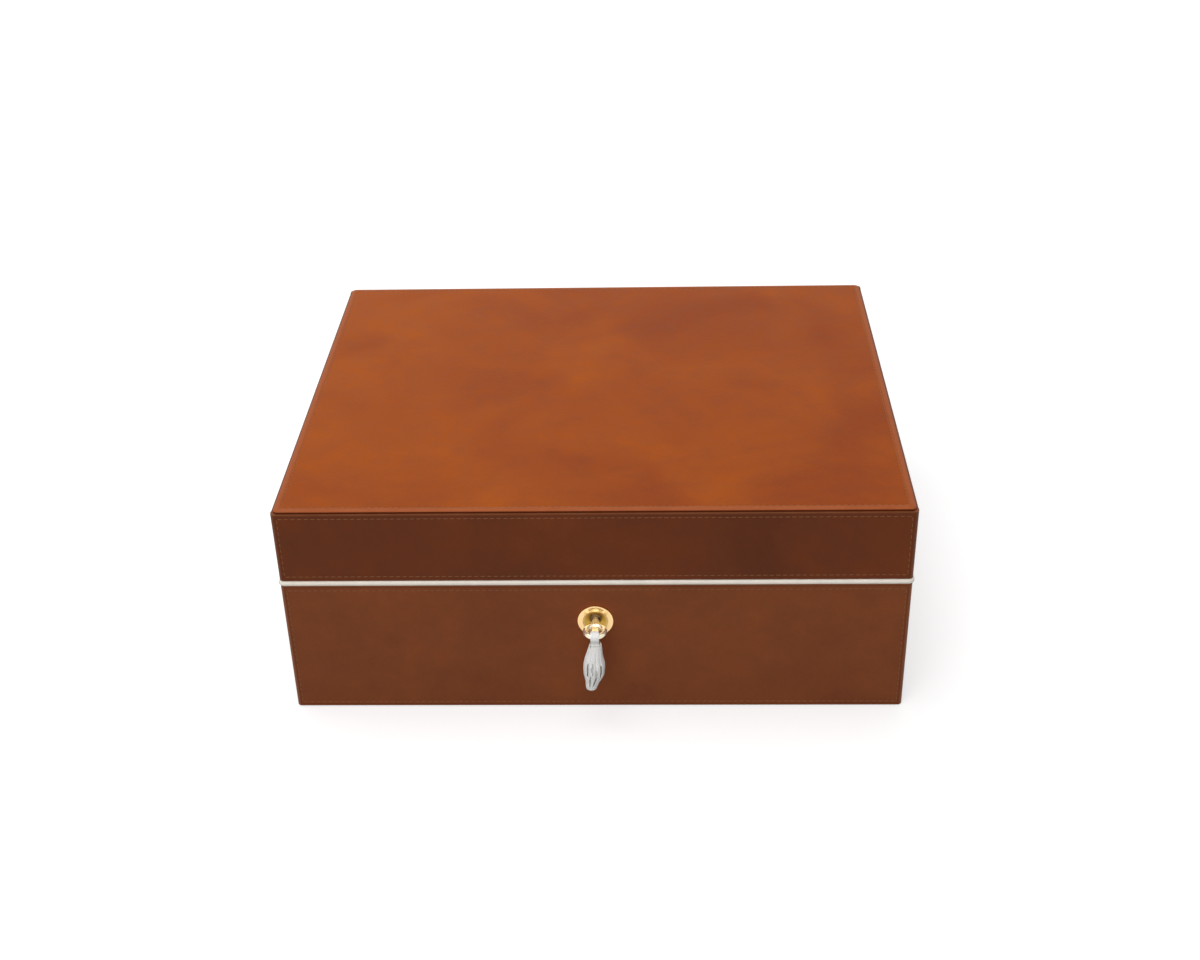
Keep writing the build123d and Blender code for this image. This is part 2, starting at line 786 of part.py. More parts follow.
def lid_lining():
    """Four cedar strips round the inside of the lid, above the lip of the base."""
    span = (lining_bottom, ceiling)
    strips = [
        block((-wall_x, wall_x), (-wall_y, -room_y), span),
        block((-wall_x, wall_x), (room_y, wall_y), span),
        block((-wall_x, -room_x), (-room_y, room_y), span),
        block((room_x, wall_x), (-room_y, room_y), span),
    ]
    return Compound(children=strips)


def tray_frame():
    """The tray: two long sides, two ends with a finger scoop and a partition along the middle."""
    span = (tray_bottom, tray_bottom + tray_height)
    rows = (-tray_end_y, tray_end_y)
    inner_rows = (-tray_end_y + tray_board, tray_end_y - tray_board)
    left = block((tray_left, tray_left + tray_board), rows, span)
    right = block((tray_right - tray_board, tray_right), rows, span)
    inner = (tray_left + tray_board, tray_right - tray_board)
    middle = (tray_left + tray_right) / 2
    scoop_z = span[1] - tray_scoop_depth + tray_scoop_radius
    scoop = rod_y(middle, scoop_z, tray_scoop_radius, (-depth, depth))
    front = block(inner, (rows[0], inner_rows[0]), span) - scoop
    back = block(inner, (inner_rows[1], rows[1]), span) - scoop
    floor = tray_bottom + tray_floor_rise + tray_floor_thickness
    half = tray_board / 2
    partition = block((middle - half, middle + half), inner_rows, (floor, floor + tray_partition_height))
    return Compound(children=[left, right, front, back, partition])


def tray_floor():
    """The slotted floor of the tray, let in between its sides."""
    inner = (tray_left + tray_board, tray_right - tray_board)
    rows = (-tray_end_y + tray_board, tray_end_y - tray_board)
    bottom = tray_bottom + tray_floor_rise
    panel = block(inner, rows, (bottom, bottom + tray_floor_thickness))
    middle = (inner[0] + inner[1]) / 2
    count = int((inner[1] - inner[0] - tray_board) / (2 * tray_slot_pitch))
    half = tray_slot_width / 2
    for side in (-1, 1):
        for number in range(count):
            x = middle + side * (tray_board / 2 + (number + 0.5) * tray_slot_pitch)
            for y_range in (
                (rows[0] + tray_slot_end, -tray_slot_end / 2),
                (tray_slot_end / 2, rows[1] - tray_slot_end),
            ):
                panel -= block((x - half, x + half), y_range, (bottom - 1, bottom + tray_floor_thickness + 1))
    return panel


def tray_rails():
    """The front and back rails that carry the tray."""
    span = (rail_top - rail_height, rail_top)
    length = (-room_x, room_x)
    front = block(length, (-room_y, -room_y + rail_width), span)
    back = block(length, (room_y - rail_width, room_y), span)
    return Compound(children=[front, back])


def divider():
    """The low sliding divider with round air holes and a scooped top."""
    half = divider_thickness / 2
    x_range = (divider_place - half, divider_place + half)
    reach = room_y - divider_clearance
    board = block(x_range, (-reach, reach), (divider_bottom, divider_top))
    pitch = 2 * reach / (divider_hole_count + 1)
    far = (x_range[0] - 1, x_range[1] + 1)
    for number in range(divider_hole_count):
        y = -reach + (number + 1) * pitch
        board -= rod_x(y, (divider_bottom + divider_top) / 2, divider_hole_radius, far)
    return board


def humidifier_case():
    """The open black box that holds the foam, with its mouth down."""
    top = ceiling - magnet_thickness
    bottom = top - humidifier_height
    place = Pos(humidifier_place_x, 0, 0)
    half_l = humidifier_length / 2
    half_w = humidifier_width / 2
    inner = humidifier_corner - humidifier_wall
    shell = slab(half_l, half_w, humidifier_corner, (bottom, top))
    shell -= slab(half_l - humidifier_wall, half_w - humidifier_wall, inner, (bottom, top - humidifier_wall))
    return place * shell


def humidifier_grille():
    """The slotted cover that closes the mouth of the humidifier."""
    bottom = ceiling - magnet_thickness - humidifier_height
    inset = humidifier_wall + hygrometer_fit
    half_l = humidifier_length / 2 - inset
    half_w = humidifier_width / 2 - inset
    plate = slab(half_l, half_w, humidifier_corner - inset, (bottom, bottom + grille_thickness))
    pitch = 2 * (half_l - grille_margin) / (grille_slot_count - 1)
    reach = half_w - grille_margin
    for number in range(grille_slot_count):
        x = -half_l + grille_margin + number * pitch
        slot = SlotOverall(2 * reach, grille_slot_width, rotation=90)
        plate -= Pos(x, 0, bottom - grille_thickness) * extrude(slot, 3 * grille_thickness)
    return Pos(humidifier_place_x, 0, 0) * plate


def humidifier_foam():
    """The block of foam between the grille and the back of the case."""
    top = ceiling - magnet_thickness - humidifier_wall - foam_gap
    bottom = ceiling - magnet_thickness - humidifier_height + grille_thickness + foam_gap
    inset = humidifier_wall + foam_gap
    half_l = humidifier_length / 2 - inset
    half_w = humidifier_width / 2 - inset
    foam = slab(half_l, half_w, humidifier_corner - inset, (bottom, top))
    return Pos(humidifier_place_x, 0, 0) * foam


def humidifier_magnets():
    """Two flat magnets that hold the humidifier to the ceiling."""
    span = (ceiling - magnet_thickness, ceiling)
    discs = []
    for side in (-1, 1):
        x = humidifier_place_x + side * magnet_spacing / 2
        discs.append(rod_z(x, 0, magnet_radius, span))
    return Compound(children=discs)


def hygrometer_case():
    """The brass cup of the hygrometer, with its mouth down."""
    span = (ceiling - hygrometer_height, ceiling)
    cup = rod_z(hygrometer_place_x, 0, hygrometer_radius, span)
    cavity = (span[0], span[1] - hygrometer_wall)
    return cup - rod_z(hygrometer_place_x, 0, hygrometer_radius - hygrometer_wall, cavity)


def hygrometer_bezel():
    """The rolled ring that holds the lens in the cup."""
    top = ceiling - hygrometer_height
    ring = rod_z(hygrometer_place_x, 0, bezel_outer_radius, (top - bezel_thickness, top))
    ring -= rod_z(hygrometer_place_x, 0, bezel_inner_radius, (top - 2 * bezel_thickness, top + 1))
    return chamfer(ring.edges().group_by(Axis.Z)[0], bezel_thickness / 3)


def hygrometer_lens():
    """The clear disc above the bezel."""
    bottom = ceiling - hygrometer_height
    radius = hygrometer_radius - hygrometer_wall - hygrometer_fit
    return rod_z(hygrometer_place_x, 0, radius, (bottom, bottom + lens_thickness))


def hygrometer_dial():
    """The dial with the spindle in front of it and the round movement behind it."""
    bottom = ceiling - hygrometer_height + dial_depth
    radius = hygrometer_radius - hygrometer_wall - hygrometer_fit
    dial = rod_z(hygrometer_place_x, 0, radius, (bottom, bottom + dial_thickness))
    dial += rod_z(hygrometer_place_x, 0, spindle_radius, (bottom - spindle_length, bottom))
    back = (bottom + dial_thickness, ceiling - hygrometer_wall)
    return dial + rod_z(hygrometer_place_x, 0, movement_radius, back)


def hygrometer_pointer():
    """The pointer: a slim blade with a tail, balanced about its hub."""
    top = ceiling - hygrometer_height + dial_depth - pointer_lift
    half = pointer_width / 2
    blade = Polygon(
        (-half, 0),
        (-half / 4, -pointer_length),
        (half / 4, -pointer_length),
        (half, 0),
        (half, pointer_tail),
        (-half, pointer_tail),
        align=None,
    )
    outline = blade + Circle(pointer_hub_radius) + Pos(0, pointer_tail) * Circle(pointer_hub_radius * 0.75)
    outline -= Circle(spindle_radius + spindle_clearance)
    solid = extrude(outline, pointer_thickness)
    return Pos(hygrometer_place_x, 0, top - pointer_thickness) * solid


def base_screws():
    """The screws of the base: two in each hinge leaf and two in the lock."""
    screws = []
    for x in (-hinge_x, hinge_x):
        for y in hinge_screw_places():
            screws.append(Pos(x, y, rim_top) * screw())
    for x in (-selvedge_screw_spacing / 2, selvedge_screw_spacing / 2):
        screws.append(Pos(x, (lock_front + lock_back) / 2, rim_top) * screw())
    return Compound(children=screws)


def lid_screws():
    """The screws of the lid: two in each hinge leaf and two in the link plate."""
    screws = []
    for x in (-hinge_x, hinge_x):
        for y in hinge_screw_places():
            screws.append(Pos(x, y, seam_height) * Rot(180, 0, 0) * screw())
    for x in (-selvedge_screw_spacing / 2, selvedge_screw_spacing / 2):
        screws.append(Pos(x, (lock_front + lock_back) / 2, seam_height) * Rot(180, 0, 0) * screw())
    return Compound(children=screws)


def hinge_pins():
    """The two pins, one through each hinge."""
    pins = []
    for x in (-hinge_x, hinge_x):
        pins.append(rod_x(hinge_y, hinge_z, hinge_pin_radius, (x - leaf_width / 2, x + leaf_width / 2)))
    return Compound(children=pins)


def save_base():
    """The base: felt, boards, leather, piping and cedar lining."""
    boards = carcass_boards((felt_thickness, rim_top))
    boards["front"] -= lock_pocket()
    boards["left"] -= hinge_mortise(-hinge_x, -1)
    boards["right"] -= hinge_mortise(hinge_x, -1)
    for side, board in boards.items():
        save(board, f"base_{side}_board")
    floor = block((-wall_x, wall_x), (-wall_y, wall_y), (felt_thickness, floor_top))
    save(floor, "base_floor_board")
    panels = cut_band(leather_band((leather_foot, base_leather_top)))
    panels["front"] -= rosette_bore()
    for side, panel in panels.items():
        save(panel, f"base_{side}_leather")
    save(piping(), "rim_piping")
    felt = slab(half_x - felt_inset, half_y - felt_inset, corner_round, (0, felt_thickness))
    save(felt, "underside_felt")
    cedar_floor = block((-wall_x, wall_x), (-wall_y, wall_y), (floor_top, room_floor))
    save(cedar_floor, "cedar_floor")
    save(cedar_liner((-wall_x, wall_x), (-wall_y, -room_y)), "cedar_front_liner")
    save(cedar_liner((-wall_x, wall_x), (room_y, wall_y)), "cedar_back_liner")
    save(cedar_liner((-wall_x, -room_x), (-room_y, room_y)), "cedar_left_liner")
    save(cedar_liner((room_x, wall_x), (-room_y, room_y)), "cedar_right_liner")
    save(tray_rails(), "tray_rails")


def save_lid():
    """The lid: boards, leather, cedar lining and what hangs from its ceiling."""
    boards = carcass_boards((seam_height, lid_wall_top))
    boards["front"] -= link_pocket()
    boards["left"] -= hinge_mortise(-hinge_x, 1)
    boards["right"] -= hinge_mortise(hinge_x, 1)
    for side, board in boards.items():
        save(board, f"lid_{side}_board")
    top = slab(carcass_x, carcass_y, carcass_round, (lid_wall_top, lid_board_top))
    save(top, "lid_top_board")
    panels = cut_band(leather_band((seam_height, lid_board_top)))
    notch = (seam_height, seam_height + leaf_thickness + hinge_notch_clearance)
    for x in (-hinge_x, hinge_x):
        panels["back"] -= hinge_notch(x, notch)
    for side, panel in panels.items():
        save(panel, f"lid_{side}_leather")
    cover = slab(half_x, half_y, corner_round, (lid_board_top, height))
    levels = cover.edges().group_by(Axis.Z)
    cover = fillet(levels[-1], top_edge_round)
    cover = fillet(cover.edges().group_by(Axis.Z)[0], top_panel_under_round)
    save(cover, "lid_top_leather")
    board = block((-wall_x, wall_x), (-wall_y, wall_y), (ceiling, lid_wall_top))
    save(board, "lid_cedar_ceiling")
    save(lid_lining(), "lid_cedar_frame")
    save(humidifier_case(), "humidifier_case")
    save(humidifier_grille(), "humidifier_grille")
    save(humidifier_foam(), "humidifier_foam")
    save(humidifier_magnets(), "humidifier_magnets")
    save(hygrometer_case(), "hygrometer_case")
    save(hygrometer_bezel(), "hygrometer_bezel")
    save(hygrometer_lens(), "hygrometer_lens")
    save(hygrometer_dial(), "hygrometer_dial")
    save(hygrometer_pointer(), "hygrometer_pointer")


def save_hinges():
    """Both quadrant hinges: leaves, pins, screws and floating arms."""
    for side, x in (("left", -hinge_x), ("right", hinge_x)):
        save(hinge_leaf(x, -1), f"{side}_hinge_base_leaf")
        save(hinge_leaf(x, 1), f"{side}_hinge_lid_leaf")
        save(stay_arm(x), f"{side}_stay_arm")
    save(hinge_pins(), "hinge_pins")
    save(base_screws(), "base_screws")
    save(lid_screws(), "lid_screws")


def save_lock():
    """The lock, its plate on the front, the link plate in the lid, and the key with its tassel."""
    save(lock_case(), "lock_case")
    save(lock_cover(), "lock_cover_plate")
    save(lock_barrel(), "lock_barrel")
    save(lock_bolt(), "lock_bolt")
    save(link_plate(), "link_plate")
    save(key_rosette(), "key_rosette")
    save(key(), "key")
    save(tassel_loop(), "tassel_loop")
    save(tassel_strap(), "tassel_strap")
    save(tassel_skirt(), "tassel_skirt")


os.makedirs("parts", exist_ok=True)
save_base()
save_lid()
save_hinges()
save_lock()
save(tray_frame(), "tray_frame")
save(tray_floor(), "tray_floor")
save(divider(), "divider")
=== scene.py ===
"""A leather covered humidor with its lid closed, the key in the lock and a tassel on the key."""

import math

import bmesh
import bpy
from mathutils import Matrix, Vector


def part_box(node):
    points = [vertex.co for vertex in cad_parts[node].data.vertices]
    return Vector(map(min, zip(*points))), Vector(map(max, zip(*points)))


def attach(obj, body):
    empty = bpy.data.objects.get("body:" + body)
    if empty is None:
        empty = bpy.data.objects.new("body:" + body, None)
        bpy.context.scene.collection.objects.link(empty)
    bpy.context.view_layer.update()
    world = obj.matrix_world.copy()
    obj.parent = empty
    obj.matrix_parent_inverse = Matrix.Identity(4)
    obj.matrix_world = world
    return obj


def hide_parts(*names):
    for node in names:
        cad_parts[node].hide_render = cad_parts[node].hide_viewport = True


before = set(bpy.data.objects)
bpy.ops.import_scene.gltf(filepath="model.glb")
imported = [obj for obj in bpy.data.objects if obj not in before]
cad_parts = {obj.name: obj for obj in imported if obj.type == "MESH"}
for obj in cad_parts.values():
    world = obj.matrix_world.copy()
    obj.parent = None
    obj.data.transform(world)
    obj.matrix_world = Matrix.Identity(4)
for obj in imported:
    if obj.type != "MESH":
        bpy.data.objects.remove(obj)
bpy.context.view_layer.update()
mm = 0.001

# The stage: a pale floor that keeps the box's shadow and turns white far away, an even pale
# surrounding, two wide soft lamps above and in front, and the camera where the photographer stood.

view_settings = bpy.context.scene.view_settings
view_settings.view_transform = "Standard"


def add_node(tree, kind, inputs=None, **settings):
    """Adds one shader node; an input is a plain value or the output of another node."""
    made = tree.nodes.new(kind)
    for name, value in settings.items():
        setattr(made, name, value)
    for name, value in (inputs or {}).items():
        if isinstance(value, bpy.types.NodeSocket):
            tree.links.new(value, made.inputs[name])
        else:
            made.inputs[name].default_value = value
    return made


def calculate(tree, operation, *values):
    """The result of one sum; each value is a number or the output of another node."""
    return add_node(tree, "ShaderNodeMath", dict(enumerate(values)), operation=operation).outputs[0]


def calculate_vector(tree, operation, *values):
    """The same with vectors; a length and a product of two directions are plain numbers."""
    made = add_node(tree, "ShaderNodeVectorMath", dict(enumerate(values)), operation=operation)
    return made.outputs["Value" if operation in ("LENGTH", "DOT_PRODUCT") else "Vector"]


def blend_colours(tree, share, first, second):
    """A colour that goes from the first to the second as the share goes from 0 to 1."""
    return add_node(tree, "ShaderNodeMix", {0: share, 6: first, 7: second}, data_type="RGBA").outputs[2]


def reshape(tree, value, low, high, new_low=0.0, new_high=1.0):
    """Stretches a value from one range to another and stops at its ends."""
    ends = {"From Min": low, "From Max": high, "To Min": new_low, "To Max": new_high}
    return add_node(tree, "ShaderNodeMapRange", {"Value": value, **ends}).outputs[0]


def seen_by_eye(tree):
    """1 for rays from the camera, a mirror or through glass, and 0 for light that falls on things."""
    path = add_node(tree, "ShaderNodeLightPath").outputs
    mirror = calculate(tree, "MAXIMUM", path["Is Camera Ray"], path["Is Glossy Ray"])
    return calculate(tree, "MAXIMUM", mirror, path["Is Transmission Ray"])


def new_material(name, **fixed):
    """A material whose shader has these fixed values; an underscore in a name stands for a space."""
    material = bpy.data.materials.new(name)
    material.use_nodes = True
    shader = material.node_tree.nodes["Principled BSDF"]
    for label, value in fixed.items():
        shader.inputs[label.replace("_", " ")].default_value = value
    return material


world = bpy.data.worlds.new("pale_studio")
bpy.context.scene.world = world
world.use_nodes = True
world_tree = world.node_tree
surrounding_light = 0.25
background = world_tree.nodes["Background"]
background.inputs["Color"].default_value = (1, 1, 1, 1)
strength = reshape(world_tree, seen_by_eye(world_tree), 0.0, 1.0, surrounding_light)
world_tree.links.new(strength, background.inputs["Strength"])

floor_size = 12.0
glow_start = 0.6
glow_end = 2.2
bpy.ops.object.select_all(action="DESELECT")
bpy.ops.mesh.primitive_plane_add(size=floor_size)
floor = bpy.context.object
floor.name = "floor"
white = (1, 1, 1, 1)
floor_material = new_material("pale_floor", Roughness=0.9, Specular_IOR_Level=0.0, Emission_Color=white)
floor_tree = floor_material.node_tree
floor_paint = floor_tree.nodes["Principled BSDF"].inputs
floor_seen = seen_by_eye(floor_tree)
floor_colour = blend_colours(floor_tree, floor_seen, (0.36, 0.36, 0.36, 1), (0.62, 0.62, 0.62, 1))
floor_place = add_node(floor_tree, "ShaderNodeTexCoord").outputs["Object"]
floor_distance = calculate_vector(floor_tree, "LENGTH", floor_place)
floor_glow = reshape(floor_tree, floor_distance, glow_start, glow_end, 0.55)
floor_lift = calculate(floor_tree, "MULTIPLY", floor_seen, floor_glow)
floor_tree.links.new(floor_colour, floor_paint["Base Color"])
floor_tree.links.new(floor_lift, floor_paint["Emission Strength"])
floor.data.materials.append(floor_material)


def soft_lamp(name, size, place, aim, power):
    """A wide square lamp that points from its place to its aim."""
    lamp = bpy.data.lights.new(name, "AREA")
    lamp.size = size
    lamp.energy = power
    holder = bpy.data.objects.new(name, lamp)
    holder.location = place
    holder.rotation_euler = (Vector(aim) - Vector(place)).to_track_quat("-Z", "Y").to_euler()
    bpy.context.scene.collection.objects.link(holder)


soft_lamp("overhead_lamp", 1.6, (-0.25, 0.25, 1.7), (0, 0, 0.1), 20.6)
soft_lamp("front_lamp", 2.0, (-0.4, -1.65, 1.35), (0, 0, 0.06), 21.6)

camera_place = Vector((29.72, -808.08, 552.06)) * mm
camera_pitch = math.radians(31.346)
camera_yaw = math.radians(-2.168)
camera_roll = math.radians(-1.466)
level_share = math.cos(camera_pitch)
ahead = Vector(
    (math.sin(camera_yaw) * level_share, math.cos(camera_yaw) * level_share, -math.sin(camera_pitch))
)
level_right = Vector((math.cos(camera_yaw), -math.sin(camera_yaw), 0))
image_right = Matrix.Rotation(-camera_roll, 3, ahead) @ level_right
image_up = image_right.cross(ahead)
camera = bpy.data.objects.new("camera", bpy.data.cameras.new("camera"))
camera.data.lens = 49.0
camera.data.sensor_width = 36
camera.data.clip_start = 0.01
camera_turn = Matrix((image_right, image_up, -ahead)).transposed().to_4x4()
camera.matrix_world = Matrix.Translation(camera_place) @ camera_turn
bpy.context.scene.collection.objects.link(camera)
bpy.context.scene.camera = camera

# The carcass: boards of birch plywood, glued up into the base and the lid before they are covered.
# They show only round the rim, at the hinge mortises and behind the lock.


def new_group(name, inputs):
    """A group of shader nodes that takes a place and these inputs and gives the parts of a finish."""
    group = bpy.data.node_groups.new(name, "ShaderNodeTree")
    group.interface.new_socket("Vector", in_out="INPUT", socket_type="NodeSocketVector")
    for label, value in inputs.items():
        kind = {3: "Vector", 4: "Color"}[len(value)] if isinstance(value, tuple) else "Float"
        socket = group.interface.new_socket(label, in_out="INPUT", socket_type="NodeSocket" + kind)
        socket.default_value = value
    for label, kind in (("Colour", "Color"), ("Roughness", "Float"), ("Height", "Float")):
        group.interface.new_socket(label, in_out="OUTPUT", socket_type="NodeSocket" + kind)
    return group, group.nodes.new("NodeGroupInput").outputs


def give(group, colour, roughness, height):
    """Joins the three parts of a finish to the outputs of its group."""
    result = group.nodes.new("NodeGroupOutput").inputs
    group.links.new(colour, result["Colour"])
    group.links.new(roughness, result["Roughness"])
    group.links.new(height, result["Height"])
    return group


def dress(material, effect, height, values, place=None):
    """Feeds a shader from one effect group: its colour, its roughness and its relief in metres."""
    tree = material.node_tree
    shader = tree.nodes["Principled BSDF"].inputs
    where = add_node(tree, "ShaderNodeTexCoord").outputs["Object"]
    turn = add_node(tree, "ShaderNodeMapping", {"Vector": where, **(place or {})})
    inputs = {label.replace("_", " "): value for label, value in values.items()}
    group = add_node(
        tree, "ShaderNodeGroup", {"Vector": turn.outputs[0], **inputs}, node_tree=effect
    ).outputs
    relief = add_node(tree, "ShaderNodeBump", {"Height": group["Height"], "Distance": height})
    relief.inputs["Strength"].default_value = 1.0
    tree.links.new(group["Colour"], shader["Base Color"])
    tree.links.new(group["Roughness"], shader["Roughness"])
    tree.links.new(relief.outputs[0], shader["Normal"])
    return material


def noise(tree, place, scale, detail, output="Fac", **more):
    """Soft random patches, as a number from 0 to 1 or as three of them (Color)."""
    inputs = {"Vector": place, "Scale": scale, "Detail": detail, **more}
    return add_node(tree, "ShaderNodeTexNoise", inputs).outputs[output]


def wood_effect():
    """Planed wood: growth rings, long pale fibres and short dark pores, all running along X."""
    colour = (0.5, 0.3, 0.2, 1)
    group, given = new_group(
        "wood_grain", {"Early Wood": colour, "Late Wood": colour, "Rings": 90.0, "Sheen": 0.5}
    )
    along = calculate_vector(group, "MULTIPLY", given["Vector"], (0.12, 1, 1))
    sway = noise(group, along, 14.0, 3.0, "Color")
    shifted = add_node(group, "ShaderNodeMix", {0: 0.035, 4: along, 5: sway}, data_type="VECTOR")
    rings = add_node(
        group, "ShaderNodeTexWave",
        {"Vector": shifted.outputs[1], "Scale": given["Rings"], "Distortion": 2.5, "Detail": 2.0},
        wave_type="BANDS", bands_direction="Y",
    )
    fibre_place = calculate_vector(group, "MULTIPLY", given["Vector"], (0.03, 1, 1))
    fibre = noise(group, fibre_place, 900.0, 4.0)
    pores = reshape(group, fibre, 0.6, 0.72)
    ring_share = reshape(group, rings.outputs["Fac"], 0.2, 1.0, 0.1, 0.85)
    ring_colour = blend_colours(group, ring_share, given["Early Wood"], given["Late Wood"])
    fibre_share = reshape(group, fibre, 0.3, 0.7, 0.0, 0.4)
    fibre_colour = blend_colours(group, fibre_share, ring_colour, given["Late Wood"])
    pore_share = reshape(group, pores, 0.0, 1.0, 0.0, 0.35)
    pore_colour = blend_colours(group, pore_share, fibre_colour, (0.05, 0.02, 0.01, 1))
    rough = calculate(group, "MULTIPLY_ADD", fibre_share, 0.25, given["Sheen"])
    return give(group, pore_colour, rough, calculate(group, "SUBTRACT", fibre, pores))


wood_grain = wood_effect()


def wood(name, light, dark, rings, direction):
    """A wood finish whose grain runs along X, Y or Z."""
    turns = {"X": (0, 0, 0), "Y": (0, 0, math.pi / 2), "Z": (0, math.pi / 2, 0)}
    material = new_material(name, Specular_IOR_Level=0.3)
    values = {"Early Wood": (*light, 1), "Late Wood": (*dark, 1), "Rings": rings, "Sheen": 0.5}
    return dress(material, wood_grain, 0.04 * mm, values, {"Rotation": turns[direction]})


def finish_nodes(material, *names):
    """Gives a finish to pieces that keep the frame's own mesh."""
    for name in names:
        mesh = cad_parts[name].data
        mesh.materials.clear()
        mesh.materials.append(material)


birch = {"light": (0.50, 0.34, 0.20), "dark": (0.34, 0.21, 0.11), "rings": 60.0}
birch_x = wood("birch_along_x", direction="X", **birch)
birch_y = wood("birch_along_y", direction="Y", **birch)
for body in ("base", "lid"):
    finish_nodes(birch_x, f"{body}_front_board", f"{body}_back_board")
    finish_nodes(birch_y, f"{body}_left_board", f"{body}_right_board")
finish_nodes(birch_x, "base_floor_board", "lid_top_board")


# The leather covering: vegetable tanned cowhide 1.6 mm thick, glued over the boards. The front and
# back panels turn the corners, the top panel lies over the lid with its edge rolled down, and all
# are stitched near their edges in a pressed groove. The hide is mottled and has fine pores.

top_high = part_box("lid_top_leather")[1]
case_x = top_high.x
case_y = top_high.y
hide_thickness = 1.6 * mm
corner_round = 2.4 * mm
corner_wrap = 4.0 * mm
edge_round = 0.55 * mm
groove_depth = 0.22 * mm
groove_half_width = 0.45 * mm
seam_inset = 3.1 * mm
outer_inset = 2.4 * mm
side_reach = case_y - corner_wrap - 0.05 * mm
# A dark line just inside each upright panel's edges: partly a pressed crease, partly a painted shadow, as
# below the piping.
crease_shadow_place = 0.25 * mm
crease_shadow_colour = (0.11, 0.022, 0.005, 1)
burnished = (0.10, 0.018, 0.004, 1)
slack = 0.01 * mm
bore_radius = 4.05 * mm
notch_clearance = 0.6 * mm
notch_height = 3.8 * mm
cutter_depth = 8 * mm


def lighten(tree, colour, light):
    """A colour made lighter or darker by a factor."""
    return add_node(tree, "ShaderNodeVectorMath", {0: colour, 3: light}, operation="SCALE").outputs[0]


def hide_effect():
    """Smooth hide: broad uneven tanning, small clouds, paler edges that are partly wear and partly painted
    sheen, a dark line inside the edges that is partly a crease and partly painted shadow, and a relief of
    soft pores and faint creases.
    """
    still = (0.0, 0.0, 0.0)
    group, given = new_group(
        "hide",
        {
            "Tan": (0.3, 0.1, 0.03, 1),
            "Russet": (0.25, 0.07, 0.03, 1),
            "Mottling Shift": still,
            "Blotches": 14.0,
            "Russet Drift": still,
            "Gloss": 0.4,
            "Pores": 900.0,
            "Burnished Below": -1.0,
            "Rubbed": (0.35, 0.12, 0.05, 1),
            "Middle": still,
            "Reach": (1.0, 1.0, 1.0),
            "Crease": 0.0,
        },
    )
    place = given["Vector"]
    moved = calculate_vector(group, "ADD", place, given["Mottling Shift"])
    broad = noise(group, moved, given["Blotches"], 4.0, Roughness=0.5, Distortion=0.6)
    drift = calculate_vector(group, "DOT_PRODUCT", place, given["Russet Drift"])
    share = reshape(group, calculate(group, "ADD", broad, drift), 0.3, 0.7)
    colour = blend_colours(group, share, given["Tan"], given["Russet"])
    cloud = noise(group, place, 95.0, 5.0, Roughness=0.6)
    speck = noise(group, place, 1400.0, 2.0)
    cloud_light = reshape(group, cloud, 0.3, 0.7, 0.93, 1.07)
    speck_light = reshape(group, speck, 0.3, 0.7, 0.96, 1.04)
    toned = lighten(group, colour, calculate(group, "MULTIPLY", cloud_light, speck_light))
    from_middle = calculate_vector(group, "SUBTRACT", place, given["Middle"])
    distance = calculate_vector(group, "ABSOLUTE", from_middle)
    beyond = calculate_vector(group, "SUBTRACT", distance, given["Reach"])
    axes = add_node(group, "ShaderNodeSeparateXYZ", {0: beyond}).outputs
    across = calculate(group, "MAXIMUM", axes["X"], axes["Y"])
    furthest = calculate(group, "MAXIMUM", across, axes["Z"])
    # Near the edges of the reach the hide turns paler in patches: partly rubbed, partly a painted sheen on
    # the rolled edges.
    sheen_margin = reshape(group, furthest, -0.4 * mm, 1.0 * mm)
    patchy_sheen = calculate(group, "MULTIPLY", sheen_margin, reshape(group, cloud, 0.25, 0.6, 0.55, 1.0))
    rubbed_sheen = blend_colours(group, patchy_sheen, toned, given["Rubbed"])
    # The dark line inside the edges, a crease and painted shadow.
    beside = calculate(group, "ABSOLUTE", calculate(group, "ADD", furthest, crease_shadow_place))
    crease_shadow_share = reshape(group, beside, 0.1 * mm, 0.6 * mm, 1.0, 0.0)
    crease_shadow_mask = calculate(group, "MULTIPLY", crease_shadow_share, given["Crease"])
    creased_and_shaded = blend_colours(group, crease_shadow_mask, rubbed_sheen, crease_shadow_colour)
    level = add_node(group, "ShaderNodeSeparateXYZ", {0: place}).outputs["Z"]
    above = calculate(group, "SUBTRACT", level, given["Burnished Below"])
    edge = reshape(group, above, 0.0, 0.3 * mm, 1.0, 0.0)
    rough = calculate(group, "ADD", reshape(group, cloud, 0.3, 0.7, -0.05, 0.07), given["Gloss"])
    pores = add_node(
        group, "ShaderNodeTexVoronoi", {"Vector": place, "Scale": given["Pores"]}, feature="SMOOTH_F1"
    )
    creases = noise(group, place, 420.0, 4.0, Distortion=1.2)
    relief = calculate(group, "MULTIPLY_ADD", creases, 1.4, pores.outputs["Distance"])
    return give(group, blend_colours(group, edge, creased_and_shaded, burnished), rough, relief)


hide = hide_effect()


def hide_material(name, tan, russet, gloss, specular=0.12, shift=(0, 0, 0), **values):
    """The finish of one panel; shift moves the mottling so that no two panels match."""
    material = new_material(name, Specular_IOR_Level=specular)
    values.update({"Tan": (*tan, 1), "Russet": (*russet, 1), "Gloss": gloss, "Mottling Shift": shift})
    return dress(material, hide, 0.05 * mm, values)


def start_piece(name, add, **settings):
    """Adds a primitive with nothing else selected, gives it its name and opens it for editing."""
    bpy.ops.object.select_all(action="DESELECT")
    add(**settings)
    piece = bpy.context.object
    piece.name = name
    piece.data.name = name
    bpy.ops.object.transform_apply()
    bpy.ops.object.mode_set(mode="EDIT")
    return piece


